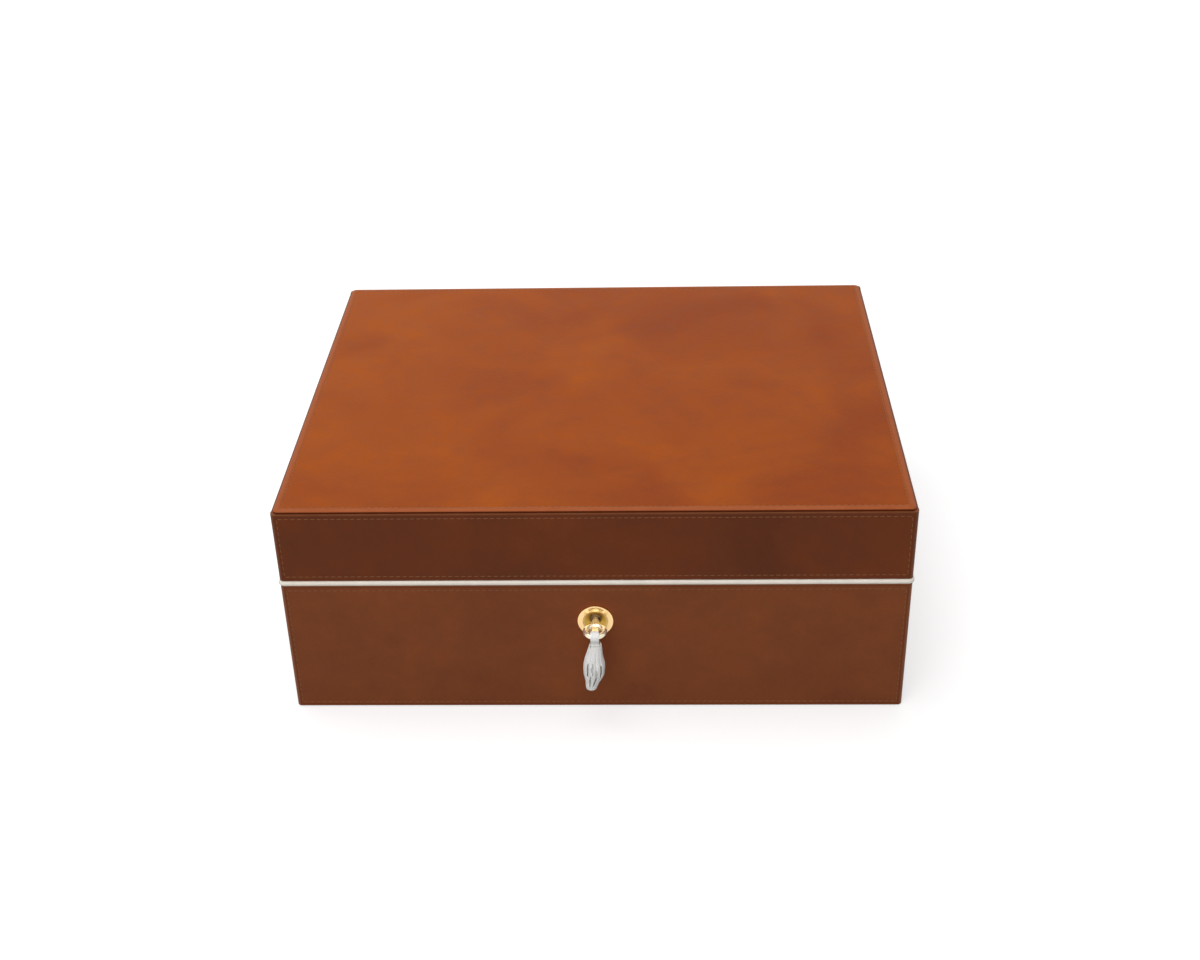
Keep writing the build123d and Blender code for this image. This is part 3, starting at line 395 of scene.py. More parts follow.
def choose(piece, kind, test):
    """Selects only the faces, edges or corners of the open piece whose middle passes the test."""
    bpy.ops.mesh.select_mode(type=kind)
    bpy.ops.mesh.select_all(action="DESELECT")
    form = bmesh.from_edit_mesh(piece.data)
    parts = {"FACE": form.faces, "EDGE": form.edges, "VERT": form.verts}[kind]
    for part in parts:
        corners = [part] if kind == "VERT" else part.verts
        middle = sum((corner.co for corner in corners), Vector()) / len(corners)
        part.select_set(bool(test(middle)))
    form.select_flush_mode()
    bmesh.update_edit_mesh(piece.data)

def choose_all(kind=None):
    """Selects the whole open piece, as faces, edges or corners where a kind is given."""
    if kind:
        bpy.ops.mesh.select_mode(type=kind)
    bpy.ops.mesh.select_all(action="SELECT")


def cut_lines(points, normal):
    """Cuts edge lines across the open piece where planes through these points pass."""
    for point in points:
        choose_all()
        bpy.ops.mesh.bisect(plane_co=point, plane_no=normal)


def draw_out(x=0.0, y=0.0, z=0.0):
    """Extrudes the selected edges or faces and moves them."""
    bpy.ops.mesh.extrude_region_move(TRANSFORM_OT_translate={"value": (x, y, z)})


def resize(x, y, z, centre):
    """Scales what is selected about a centre."""
    bpy.ops.transform.resize(value=(x, y, z), center_override=centre)


def close_piece(piece, merge=0.005 * mm):
    """Merges doubled corners, turns all faces outwards and leaves edit mode."""
    choose_all("VERT")
    bpy.ops.mesh.remove_doubles(threshold=merge)
    bpy.ops.mesh.normals_make_consistent(inside=False)
    bpy.ops.object.mode_set(mode="OBJECT")
    return piece


def apply_modifier(piece, kind, **settings):
    """Adds a modifier with these settings and applies it at once."""
    bpy.context.view_layer.objects.active = piece
    modifier = piece.modifiers.new(kind.lower(), kind)
    for name, value in settings.items():
        setattr(modifier, name, value)
    bpy.ops.object.modifier_apply(modifier=modifier.name)


def round_edges(piece, width, segments=3):
    """Rounds the sharp edges of a piece."""
    sharp = math.radians(50)
    apply_modifier(
        piece, "BEVEL", width=width, segments=segments, limit_method="ANGLE", angle_limit=sharp
    )


def shade(piece, angle=40):
    """Shades a piece smoothly up to this angle between faces."""
    bpy.ops.object.select_all(action="DESELECT")
    piece.select_set(True)
    bpy.context.view_layer.objects.active = piece
    bpy.ops.object.shade_smooth_by_angle(angle=math.radians(angle))
    apply_modifier(piece, "WEIGHTED_NORMAL", keep_sharp=True)
    return piece


def place_piece(piece, body, slot, material, *replaced):
    """Gives a finished piece its material and lets it ride on its body; the slot is not used."""
    piece.data.materials.clear()
    piece.data.materials.append(material)
    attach(piece, body)
    if replaced:
        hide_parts(*replaced)


def facing(piece, outward):
    """Turns an open sheet so that its faces look along outward."""
    piece.data.update()
    total = sum((face.normal * face.area for face in piece.data.polygons), Vector())
    if total.dot(outward) < 0:
        piece.data.flip_normals()


def upright_sheet(name, across, half_length, low, high, face_place):
    """An upright sheet that runs along X (across 0) or Y (across 1), left open for editing."""
    turn = (math.pi / 2, 0, 0) if across == 0 else (0, math.pi / 2, 0)
    centre = Vector((0, 0, (low + high) / 2))
    centre[1 - across] = face_place
    piece = start_piece(name, bpy.ops.mesh.primitive_plane_add, size=1, rotation=turn, location=centre)
    choose_all()
    size = Vector((1, 1, high - low))
    size[across] = 2 * half_length
    resize(*size, centre)
    return piece


def seamed_panel(piece, across, reach, heights, face):
    """Presses the groove of the seam into an open sheet and gives it its thickness."""
    along = Vector((0, 0, 0))
    along[across] = 1
    outward = Vector((0, 0, 0))
    outward[1 - across] = math.copysign(1, face)
    for offset in (-groove_half_width, 0, groove_half_width):
        cut_lines([along * (reach + offset), -along * (reach + offset)], along)
        cut_lines([(0, 0, height + offset) for height in heights], (0, 0, 1))

    def on_seam(middle):
        side = abs(abs(middle[across]) - reach) < slack
        level = min(abs(middle.z - height) for height in heights) < slack
        beside = abs(middle[across]) < reach + slack
        between = heights[0] - slack < middle.z < heights[1] + slack
        on_face = abs(middle[1 - across] - face) < slack
        return on_face and ((side and between) or (level and beside))

    choose(piece, "VERT", on_seam)
    bpy.ops.transform.translate(value=-outward * groove_depth)
    close_piece(piece)
    facing(piece, outward)
    apply_modifier(piece, "SOLIDIFY", thickness=hide_thickness, offset=-1, use_even_offset=True)
    return piece


def wrapped_panel(name, side, low, high, heights):
    """A front (side -1) or back (side 1) panel that turns both corners of the case."""
    straight = case_x - corner_round
    piece = upright_sheet(name, 0, straight, low, high, side * case_y)
    for end in (-1, 1):
        choose(piece, "EDGE", lambda middle: middle.x * end > straight - slack)
        centre = (end * straight, side * (case_y - corner_round), 0)
        bpy.ops.mesh.spin(steps=6, angle=end * side * math.pi / 2, center=centre, axis=(0, 0, 1))
        choose(piece, "EDGE", lambda middle: middle.x * end > case_x - slack)
        draw_out(y=-side * (corner_wrap - corner_round))
    return seamed_panel(piece, 0, case_x - seam_inset, heights, side * case_y)


def flat_panel(name, side, low, high, heights):
    """A left (side -1) or right (side 1) panel between the turned corners."""
    piece = upright_sheet(name, 1, side_reach, low, high, side * case_x)
    return seamed_panel(piece, 1, side_reach - seam_inset, heights, side * case_x)


def cut_away(piece, add, **settings):
    """Cuts a primitive out of a piece and removes it again."""
    cutter = start_piece("cutter", add, **settings)
    bpy.ops.object.mode_set(mode="OBJECT")
    apply_modifier(piece, "BOOLEAN", operation="DIFFERENCE", object=cutter, solver="EXACT")
    bpy.data.objects.remove(cutter)


# The top's hide is painted lighter than the upright panels' hides: a lit copy of the same leather, painted
# light.
lit_top_hide = hide_material(
    "lit_top_hide", (0.338, 0.0695, 0.0030), (0.253, 0.046, 0.0037), 0.42, specular=0.07,
    Russet_Drift=(0.75, 0.1, 0),
    Burnished_Below=top_high.z - 0.8 * mm,
    # The paler roll along the top's edges is a painted sheen, with a little wear.
    Rubbed=(0.342, 0.088, 0.027, 1),
    Reach=(case_x - 4.2 * mm, case_y - 4.4 * mm, 1.0),
)
# The upright panels' tan, russet and paler edge colours, painted darker than the top's hide as shade; the
# lid's panels are darker again than the base's.
shaded_panel_tones = {
    "base": ((0.255, 0.068, 0.019), (0.195, 0.0508, 0.0161), (0.255, 0.090, 0.036, 1)),
    "lid": ((0.166, 0.038, 0.0089), (0.117, 0.0272, 0.0076), (0.180, 0.057, 0.021, 1)),
}


def panel_hide(body, label, low, high, shift, reach_x=1.0, reach_y=1.0):
    """The finish of the upright panels of the lid or the base: painted darker than the top's hide as shade,
    paler along their edges as wear and painted sheen, and with a dark line inside their edges, partly a
    crease and partly painted shadow.
    """
    tan, russet, rubbed_sheen = shaded_panel_tones[body]
    return hide_material(
        f"{body}_{label}_hide", tan, russet, 0.42, shift=shift, Rubbed=rubbed_sheen, Crease=0.55,
        Middle=(0, 0, (low + high) / 2),
        Reach=(reach_x, reach_y, (high - low) / 2 - 0.8 * mm),
    )


def place_panel(panel, body, finish, node):
    """Rounds the edges of a panel and lets it take the place of its node."""
    round_edges(panel, edge_round)
    shade(panel)
    place_piece(panel, body, "case_leather", finish, node)


lock_plate_low, lock_plate_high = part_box("key_rosette")
lock_height = (lock_plate_low.z + lock_plate_high.z) / 2
seams = {}
for body, shift in (("base", (1.3, 0.2, 0.5)), ("lid", (0.4, 0, 0))):
    low, high = (corner.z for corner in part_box(f"{body}_front_leather"))
    long_finish = panel_hide(body, "long", low, high, shift, reach_x=case_x - 1.9 * mm)
    short_finish = panel_hide(body, "short", low, high, shift, reach_y=case_y - corner_wrap - 0.8 * mm)
    seams[body] = (low + outer_inset, high - (seam_inset if body == "base" else outer_inset))
    for side, label in ((-1, "front"), (1, "back")):
        panel = wrapped_panel(f"{body}_{label}_hide", side, low, high, seams[body])
        node = f"{body}_{label}_leather"
        if node == "base_front_leather":
            cut_away(
                panel, bpy.ops.mesh.primitive_cylinder_add, vertices=48, radius=bore_radius,
                depth=cutter_depth, rotation=(math.pi / 2, 0, 0), location=(0, -case_y, lock_height),
            )
        if node == "lid_back_leather":
            for leaf in ("left_hinge_lid_leaf", "right_hinge_lid_leaf"):
                leaf_low, leaf_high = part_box(leaf)
                cut_away(
                    panel, bpy.ops.mesh.primitive_cube_add, size=1,
                    location=((leaf_low.x + leaf_high.x) / 2, case_y, low),
                    scale=(leaf_high.x - leaf_low.x + notch_clearance, cutter_depth, notch_height),
                )
        place_panel(panel, body, long_finish, node)
    for side, label in ((-1, "left"), (1, "right")):
        panel = flat_panel(f"{body}_{label}_hide", side, low, high, seams[body])
        place_panel(panel, body, short_finish, f"{body}_{label}_leather")


# The top panel is one flat sheet. Its edge is pressed down over the lid in a soft roll, with a seam
# along the inside of the roll, and a narrow gap is left between it and the upright panels.

top_seam_inset = 4.6 * mm
roll = (
    (1.25, -1.52),
    (1.2, -1.4),
    (1.2, -0.85),
    (1.3, -0.55),
    (1.6, -0.33),
    (2.1, -0.17),
    (2.8, -0.06),
    (3.6, 0.0),
    (3.95, -0.01),
    (4.28, -0.12),
    (4.6, -0.26),
    (4.92, -0.12),
    (5.25, -0.01),
    (9.0, 0.0),
)


def top_panel():
    """The top sheet, drawn ring by ring from its lower edge up over the roll and into the middle."""
    first_inset, first_rise = roll[0]
    lowest = top_high.z + first_rise * mm
    middle = (0, 0, top_high.z)
    piece = start_piece("lid_top_hide", bpy.ops.mesh.primitive_plane_add, size=1, location=(0, 0, lowest))
    choose_all()
    resize(2 * (case_x - first_inset * mm), 2 * (case_y - first_inset * mm), 1, middle)
    bpy.ops.mesh.bevel(offset=corner_round, segments=6, affect="VERTICES", profile=0.5)
    bpy.ops.mesh.delete(type="ONLY_FACE")
    choose_all("EDGE")
    for (inset, rise), (next_inset, next_rise) in zip(roll, roll[1:]):
        draw_out(z=(next_rise - rise) * mm)
        shrink_x = (case_x - next_inset * mm) / (case_x - inset * mm)
        shrink_y = (case_y - next_inset * mm) / (case_y - inset * mm)
        resize(shrink_x, shrink_y, 1, middle)
    bpy.ops.mesh.edge_face_add()
    choose(piece, "EDGE", lambda point: point.z < lowest + slack)
    bpy.ops.mesh.edge_face_add()
    return shade(close_piece(piece))


place_piece(top_panel(), "lid", "case_leather", lit_top_hide, "lid_top_leather")


# The seams: waxed linen thread of a slightly lighter tan, sewn by machine through the hide before
# it is glued down. Each stitch lies in the groove and dips a little at both ends.

stitch_pitch = 3.3 * mm
stitch_length = 2.7 * mm
thread_radius = 0.26 * mm


def thread_effect():
    """Twisted thread: fine slanting plies, painted lighter where they stand up and darker between them, as
    painted highlight and shade.
    """
    group, given = new_group("twist", {"Thread": (0.3, 0.15, 0.07, 1), "Plies": 900.0})
    plies = add_node(
        group, "ShaderNodeTexWave", {"Vector": given["Vector"], "Scale": given["Plies"], "Distortion": 1.0},
        bands_direction="DIAGONAL",
    ).outputs["Fac"]
    toned = lighten(group, given["Thread"], reshape(group, plies, 0.0, 1.0, 0.75, 1.1))
    return give(group, toned, reshape(group, plies, 0.0, 1.0, 0.72, 0.6), plies)


thread = new_material("linen_thread", Specular_IOR_Level=0.2)
dress(thread, thread_effect(), 0.03 * mm, {"Thread": (0.29, 0.117, 0.048, 1)})


def stitch_row(start, end, outward):
    """One straight row of stitches, modelled once and repeated with an even pitch."""
    run = end - start
    count = round(run.length / stitch_pitch)
    along = run.normalized()
    side = outward.cross(along)
    slant = 0.09
    lie = along + side * slant
    turn = Matrix((lie.normalized(), outward.cross(lie).normalized(), outward)).transposed()
    bpy.ops.object.select_all(action="DESELECT")
    bpy.ops.mesh.primitive_uv_sphere_add(segments=6, ring_count=5, radius=1, rotation=(0, math.pi / 2, 0))
    stitch = bpy.context.object
    bpy.ops.object.transform_apply()
    stretch = Matrix.Diagonal((stitch_length / 2, thread_radius, thread_radius))
    stitch.data.transform((turn @ stretch).to_4x4())
    first = start + run * (0.5 / count) + outward * 0.02 * mm
    stitch.data.transform(Matrix.Translation(first))
    bpy.ops.object.shade_smooth()
    apply_modifier(
        stitch, "ARRAY", count=count, use_relative_offset=False, use_constant_offset=True,
        constant_offset_displace=run / count,
    )
    return stitch


def join_pieces(name, pieces):
    """Joins pieces into the first of them and names it."""
    bpy.ops.object.select_all(action="DESELECT")
    for piece in pieces:
        piece.select_set(True)
    bpy.context.view_layer.objects.active = pieces[0]
    bpy.ops.object.join()
    pieces[0].name = name
    pieces[0].data.name = name
    return pieces[0]


def stitch_rectangle(name, reach, heights, place, outward, body):
    """Four rows of stitches round a seam; place turns a point of the rectangle into one in space."""
    low, high = heights
    flat = ((-reach, low), (reach, low), (reach, high), (-reach, high))
    corners = [Vector(place(across, up)) for across, up in flat]
    rows = [stitch_row(start, end, outward) for start, end in zip(corners, corners[1:] + corners[:1])]
    place_piece(join_pieces(name, rows), body, "case_leather", thread)


for body, heights in seams.items():
    for side, label in ((-1, "front"), (1, "back")):
        face = side * (case_y - groove_depth)
        stitch_rectangle(
            f"{body}_{label}_stitches", case_x - seam_inset, heights,
            lambda across, up: (across, face, up), Vector((0, side, 0)), body,
        )
    for side, label in ((-1, "left"), (1, "right")):
        face = side * (case_x - groove_depth)
        stitch_rectangle(
            f"{body}_{label}_stitches", side_reach - seam_inset, heights,
            lambda across, up: (face, across, up), Vector((side, 0, 0)), body,
        )
top_level = top_high.z - 0.24 * mm
reach_y = case_y - top_seam_inset
stitch_rectangle(
    "lid_top_stitches", case_x - top_seam_inset, (-reach_y, reach_y),
    lambda across, back: (across, back, top_level), Vector((0, 0, 1)), "lid",
)


# The piping: a cord wrapped in off-white leather and glued round the rim of the base, so that it
# stands a little proud of the case and the lid closes on it.

ivory_hide = hide_material("ivory_hide", (0.97, 0.90, 0.80), (0.94, 0.87, 0.76), 0.45, specular=0.4)
finish_nodes(ivory_hide, "rim_piping")


# The felt under the base: short brown wool felt, glued on and cut a little smaller than the box, so
# that it doesn't show from the side.


def grain_effect():
    """Close random flecks for felt, moulded plastic and paint, with a matching fine relief."""
    group, given = new_group(
        "fine_grain",
        {
            "Ground": (0.1, 0.06, 0.04, 1),
            "Fleck": (0.2, 0.12, 0.08, 1),
            "Fineness": 1500.0,
            "Least Roughness": 0.6,
        },
    )
    flecks = noise(group, given["Vector"], given["Fineness"], 5.0, Roughness=0.65)
    clouds = noise(group, given["Vector"], 60.0, 2.0)
    share = reshape(group, calculate(group, "ADD", flecks, clouds), 0.75, 1.3)
    colour = blend_colours(group, share, given["Ground"], given["Fleck"])
    rough = calculate(group, "MULTIPLY_ADD", share, 0.12, given["Least Roughness"])
    return give(group, colour, rough, flecks)


fine_grain = grain_effect()


def grained(name, ground, fleck, fineness, roughness, relief, **fixed):
    """A finish of fine flecks in two close colours."""
    values = {"Ground": (*ground, 1), "Fleck": (*fleck, 1), "Fineness": fineness}
    values["Least Roughness"] = roughness
    return dress(new_material(name, **fixed), fine_grain, relief, values)


brown_felt = grained("brown_felt", (0.05, 0.026, 0.014), (0.13, 0.075, 0.045), 1800.0, 0.85, 0.2 * mm)
finish_nodes(brown_felt, "underside_felt")


# The cedar lining: bare planed boards. The liners of the base stand above its rim and seal the lid.
# The rails carry the tray, and the tray and the divider are made of the same cedar.

cedar = {"light": (0.56, 0.275, 0.115), "dark": (0.37, 0.145, 0.055), "rings": 75.0}
cedar_x = wood("cedar_along_x", direction="X", **cedar)
cedar_y = wood("cedar_along_y", direction="Y", **cedar)


def framed_cedar(name, reach):
    """Cedar boards joined at their corners: the grain turns to X past this reach from the middle."""
    material = wood(name, direction="Y", **cedar)
    tree = material.node_tree
    where = tree.nodes["Texture Coordinate"].outputs["Object"]
    place_y = add_node(tree, "ShaderNodeSeparateXYZ", {0: where}).outputs["Y"]
    past = calculate(tree, "GREATER_THAN", calculate(tree, "ABSOLUTE", place_y), reach)
    turned = tree.nodes["Mapping"].outputs[0]
    either = add_node(tree, "ShaderNodeMix", {0: past, 4: turned, 5: where}, data_type="VECTOR")
    tree.links.new(either.outputs[1], tree.nodes["Group"].inputs["Vector"])
    return material


finish_nodes(cedar_x, "cedar_floor", "cedar_front_liner", "cedar_back_liner", "tray_rails")
finish_nodes(cedar_x, "lid_cedar_ceiling")
finish_nodes(cedar_y, "cedar_left_liner", "cedar_right_liner", "tray_floor", "divider")
liner_low, liner_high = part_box("cedar_front_liner")
lining_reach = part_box("lid_cedar_frame")[1].y - (liner_high.y - liner_low.y)
finish_nodes(framed_cedar("lid_frame_cedar", lining_reach), "lid_cedar_frame")
tray_board = 4.0 * mm
tray_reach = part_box("tray_frame")[1].y - tray_board
finish_nodes(framed_cedar("tray_cedar", tray_reach), "tray_frame")


# The two quadrant hinges: leaves let into the side boards, a pin in each knuckle, and floating arms
# that run in mortises and stop the lid. Polished brass with a little tarnish, held by small screws.


def metal_effect():
    """Metal: patches of thin tarnish, fine polishing marks along one direction, small smears, and a darker
    tone within a radius of a centre, partly tarnish and partly painted reflection.
    """
    group, given = new_group(
        "worn_metal",
        {
            "Metal": (0.9, 0.7, 0.35, 1),
            "Tarnish": (0.5, 0.33, 0.15, 1),
            "Age": 0.4,
            "Least Roughness": 0.15,
            "Centre": (0.0, 0.0, 0.0),
            "Aged Within": -1.0,
        },
    )
    place = given["Vector"]
    patches = noise(group, place, 160.0, 6.0, Roughness=0.62)
    thin = calculate(group, "MULTIPLY", reshape(group, patches, 0.42, 0.74), given["Age"])
    # Within the given radius of the centre the metal is darkened: tarnish in the hollow, and painted darker
    # reflection.
    from_axis = calculate_vector(group, "SUBTRACT", place, given["Centre"])
    radius = calculate_vector(group, "LENGTH", calculate_vector(group, "MULTIPLY", from_axis, (1, 0, 1)))
    inside = calculate(group, "SUBTRACT", given["Aged Within"], radius)
    tarnish_and_shade = calculate(group, "MAXIMUM", thin, reshape(group, inside, 0.0, 0.8 * mm))
    colour = blend_colours(group, tarnish_and_shade, given["Metal"], given["Tarnish"])
    along = calculate_vector(group, "MULTIPLY", place, (0.06, 1, 1))
    marks = noise(group, along, 4200.0, 2.0)
    rough = calculate(group, "MULTIPLY_ADD", tarnish_and_shade, 0.22, given["Least Roughness"])
    smeared = calculate(group, "ADD", reshape(group, marks, 0.3, 0.7, 0.0, 0.05), rough)
    return give(group, colour, smeared, marks)


worn_metal = metal_effect()


def metal(name, bright, tarnish, age, roughness, relief=0.0008 * mm, metallic=1.0, **values):
    """A metal finish; age is the greatest share of tarnish in its patches."""
    material = new_material(name, Metallic=metallic)
    values.update({"Metal": (*bright, 1), "Tarnish": (*tarnish, 1), "Age": age, "Least Roughness": roughness})
    return dress(material, worn_metal, relief, values)


hinge_brass = metal("hinge_brass", (0.90, 0.66, 0.31), (0.46, 0.30, 0.13), 0.45, 0.16)
screw_brass = metal("screw_brass", (0.86, 0.62, 0.29), (0.40, 0.26, 0.11), 0.55, 0.22)
for side in ("left", "right"):
    finish_nodes(hinge_brass, f"{side}_hinge_base_leaf", f"{side}_hinge_lid_leaf", f"{side}_stay_arm")
finish_nodes(hinge_brass, "hinge_pins")
finish_nodes(screw_brass, "base_screws", "lid_screws")


# The box lock, let into the front board: a case with its cover, the barrel that the key turns, the
# bolt with two hooks, and the link plate in the lid that they catch. Satin brass, as it was milled.

lock_brass = metal("lock_brass", (0.80, 0.60, 0.31), (0.38, 0.26, 0.13), 0.5, 0.3, 0.01 * mm)
finish_nodes(lock_brass, "lock_case", "lock_cover_plate", "lock_bolt", "link_plate")
# The barrel is painted a dark brass so that the keyhole in front of it looks shaded: painted shade.
dark_shade_brass = metal("dark_shade_brass", (0.22, 0.14, 0.06), (0.10, 0.06, 0.03), 0.6, 0.4)
finish_nodes(dark_shade_brass, "lock_barrel")


# The round plate round the keyhole: turned and polished pale gold, a flat ring with a rolled edge, a
# funnel that leads the key in, and a spigot pressed into the board behind it.

plate_front = lock_plate_low.y
# The funnel is painted a darker gold: partly tarnish, partly painted reflection of the dark things round the
# key.
plate_gold = metal(
    "plate_gold", (0.90, 0.64, 0.32), (0.56, 0.35, 0.07), 0.15, 0.17,
    Centre=(0, 0, lock_height), Aged_Within=6.4 * mm,
)
funnel_steps = 14
funnel_mouth = 6.5
funnel_throat = 3.1
funnel_depth = 2.3


def funnel_point(share):
    """The radius and depth of the funnel at this share of its way in; it gets steeper inwards."""
    radius = funnel_mouth - (funnel_mouth - funnel_throat) * share
    return radius, funnel_depth * (0.35 * share + 0.65 * share**1.6)


plate_profile = (
    (9.2, 1.5),
    (9.2, 0.42),
    (9.08, 0.16),
    (8.8, 0.02),
    (8.5, 0.0),
    *(funnel_point(step / funnel_steps) for step in range(funnel_steps + 1)),
    (funnel_throat, 5.0),
    (4.0, 5.0),
    (4.0, 1.5),
)


def turned(name, profile, centre, segments):
    """A piece turned about an axis that runs back from centre; profile is (radius, depth) in mm."""
    piece = start_piece(
        name, bpy.ops.mesh.primitive_circle_add, vertices=segments, radius=profile[0][0] * mm,
        rotation=(math.pi / 2, 0, 0), location=centre + Vector((0, profile[0][1] * mm, 0)),
    )
    choose_all("EDGE")
    for (radius, depth), (next_radius, next_depth) in zip(profile, profile[1:] + profile[:1]):
        draw_out(y=(next_depth - depth) * mm)
        growth = next_radius / radius
        resize(growth, 1, growth, centre)
    return close_piece(piece)


rosette = turned("keyhole_plate", plate_profile, Vector((0, plate_front, lock_height)), 96)
shade(rosette, 30)
place_piece(rosette, "base", "gilt_brass", plate_gold, "key_rosette")


# The key: a flattened neck on a round stem, and a round ring for a bow with a thin web inside it.
# It is plated a little paler than the plate.

key_gold = metal("key_gold", (0.98, 0.90, 0.72), (0.62, 0.45, 0.22), 0.25, 0.2, metallic=0.75)
finish_nodes(key_gold, "key")


# The tassel: off-white leather. A narrow sleeve and a folded strap hold it on the bow of the key. The
# skirt is one piece, wrapped round a core, cut into thongs and gathered again at its lower end.

tassel_hide = hide_material("tassel_hide", (0.97, 0.97, 0.95), (0.93, 0.93, 0.91), 0.5, specular=0.5)
strap_low, strap_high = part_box("tassel_strap")
rim_y = (strap_low.y + strap_high.y) / 2
rim_z = lock_height
bow_radius = 4.8 * mm
sleeve_angle = math.radians(12)
bow_y = rim_y + bow_radius


def tassel_sleeve():
    """The sleeve that lies against the ring of the bow, with its ends rounded."""
    sleeve = start_piece(
        "tassel_sleeve", bpy.ops.mesh.primitive_circle_add, vertices=28, radius=2.08 * mm,
        rotation=(0, math.pi / 2, -sleeve_angle),
        location=(-bow_radius * math.sin(sleeve_angle), bow_y - bow_radius * math.cos(sleeve_angle), rim_z),
    )
    choose_all("EDGE")
    bpy.ops.mesh.spin(steps=6, angle=-2 * sleeve_angle, center=(0, bow_y, rim_z), axis=(0, 0, 1))
    close_piece(sleeve)
    apply_modifier(sleeve, "SOLIDIFY", thickness=0.46 * mm, offset=-1)
    round_edges(sleeve, 0.12 * mm, 2)
    return shade(sleeve)


def tassel_strap():
    """The strap: a band drawn up from the skirt, over the sleeve and down again behind it."""
    leg_y = 0.37 * mm
    fold_radius = 2.7 * mm
    leg_low = strap_low.z + 0.2 * mm
    leg_high = rim_z - 3.55 * mm
    shoulder_z = rim_z - 0.8 * mm
    leg_middle = (0, rim_y - leg_y, (leg_low + leg_high) / 2)
    strap = start_piece(
        "tassel_band", bpy.ops.mesh.primitive_plane_add, size=1, rotation=(math.pi / 2, 0, 0),
        location=leg_middle,
    )
    choose_all()
    resize(strap_high.x - strap_low.x, 1, leg_high - leg_low, leg_middle)
    choose(strap, "EDGE", lambda middle: middle.z > leg_high - slack)
    draw_out(y=leg_y - fold_radius, z=shoulder_z - leg_high)
    draw_out(z=rim_z - shoulder_z)
    bpy.ops.mesh.spin(steps=12, angle=math.pi, center=(0, rim_y, rim_z), axis=(1, 0, 0))
    draw_out(z=shoulder_z - rim_z)
    draw_out(y=leg_y - fold_radius, z=leg_high - shoulder_z)
    draw_out(z=leg_low - leg_high)
    close_piece(strap)
    apply_modifier(strap, "SOLIDIFY", thickness=0.66 * mm, offset=0)
    round_edges(strap, 0.16 * mm, 2)
    apply_modifier(strap, "SUBSURF", levels=1)
    return shade(strap, 60)


skirt_low, skirt_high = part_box("tassel_skirt")
skirt_length = skirt_high.z - skirt_low.z
skirt_flattening = 0.86
skirt_shape = (
    (0.0, 3.0, 0.3),
    (0.05, 3.3, 0.2),
    (0.12, 3.65, 0.0),
    (0.23, 4.25, -0.4),
    (0.31, 4.75, -0.6),
    (0.43, 5.5, -0.6),
    (0.54, 5.6, -0.7),
    (0.65, 5.35, -0.85),
    (0.74, 4.6, -1.2),
    (0.83, 3.6, -1.7),
    (0.92, 3.1, -2.25),
    (0.98, 2.75, -2.4),
    (1.0, 2.2, -2.45),
)
thong_cuts = (
    (-80, 0.36, 0.72),
    (-38, 0.36, 0.66),
    (-9, 0.36, 0.62),
    (-20, 0.64, 0.92),
    (14, 0.50, 0.88),
    (42, 0.42, 0.73),
    (88, 0.40, 0.76),
    (133, 0.36, 0.66),
    (178, 0.42, 0.82),
    (-135, 0.38, 0.70),
)
fold_half_angle = 4.2
cut_half_angle = 2.2
cut_opening = 4.6
least_core = 1.3 * mm
strap_room = 2.4 * mm
slot_low = strap_low.z - 0.25 * mm
slot_height = 8 * mm
slot_depth = 20 * mm
core_inset = 1.9 * mm
thong_columns = 108
skirt_rows = 44


def skirt_size(share, inset=0.0):
    """Half the width of the skirt, or of the core inside it, and the lean, at this share of its length."""
    half, lean = skirt_shape[-1][1:]
    for upper, lower in zip(skirt_shape, skirt_shape[1:]):
        if upper[0] <= share <= lower[0]:
            part = (share - upper[0]) / (lower[0] - upper[0])
            half = upper[1] + part * (lower[1] - upper[1])
            lean = upper[2] + part * (lower[2] - upper[2])
            break
    # The core is fuller at its top, so that no dark gap shows beside the strap.
    slimmer = 0.35 + 0.65 * min(1, max(0, (share - 0.12) / 0.2))
    return max(half * mm - inset * slimmer, least_core), lean * mm


def off_cut(point, lean, cut):
    """How many degrees round the skirt a point lies from a cut; the front is at 0."""
    angle = math.degrees(math.atan2(point.x - lean, -(point.y - rim_y) / skirt_flattening))
    return abs((angle - cut + 180) % 360 - 180)


def skirt_tube(name, inset, columns, rows, fold_depth):
    """The outline of the skirt, drawn down ring by ring, with a fold between each two thongs."""
    half, lean = skirt_size(0, inset)
    top = skirt_high.z - inset * 0.3
    drop = (skirt_length - inset * 0.6) / rows
    centre = (lean, rim_y, top)
    piece = start_piece(
        name, bpy.ops.mesh.primitive_circle_add, vertices=columns, radius=half, location=centre
    )
    choose_all("EDGE")
    resize(1, skirt_flattening, 1, centre)
    for row in range(1, rows + 1):
        next_half, next_lean = skirt_size(row / rows, inset)
        growth = next_half / half
        draw_out(x=next_lean - lean, z=-drop)
        resize(growth, growth, 1, (next_lean, rim_y, top - row * drop))
        half, lean = next_half, next_lean
    for row in range(2, rows):
        share = row / rows
        level = top - row * drop
        half, lean = skirt_size(share, inset)
        depth = fold_depth * min(1, share / 0.3, (1.1 - share) / 0.3)

        def in_fold(point):
            if abs(point.z - level) > drop / 4:
                return False
            return any(off_cut(point, lean, cut) < fold_half_angle for cut, _, _ in thong_cuts)

        choose(piece, "VERT", in_fold)
        inward = 1 - depth / half
        resize(inward, inward, 1, (lean, rim_y, level))
    return piece


def cut_strap_slot(piece):
    """Cuts the slot at the top of the skirt in which it can swing on the strap."""
    cut_away(
        piece, bpy.ops.mesh.primitive_cube_add, size=1, location=(0, rim_y, slot_low + slot_height / 2),
        scale=(2 * strap_room, slot_depth, slot_height),
    )


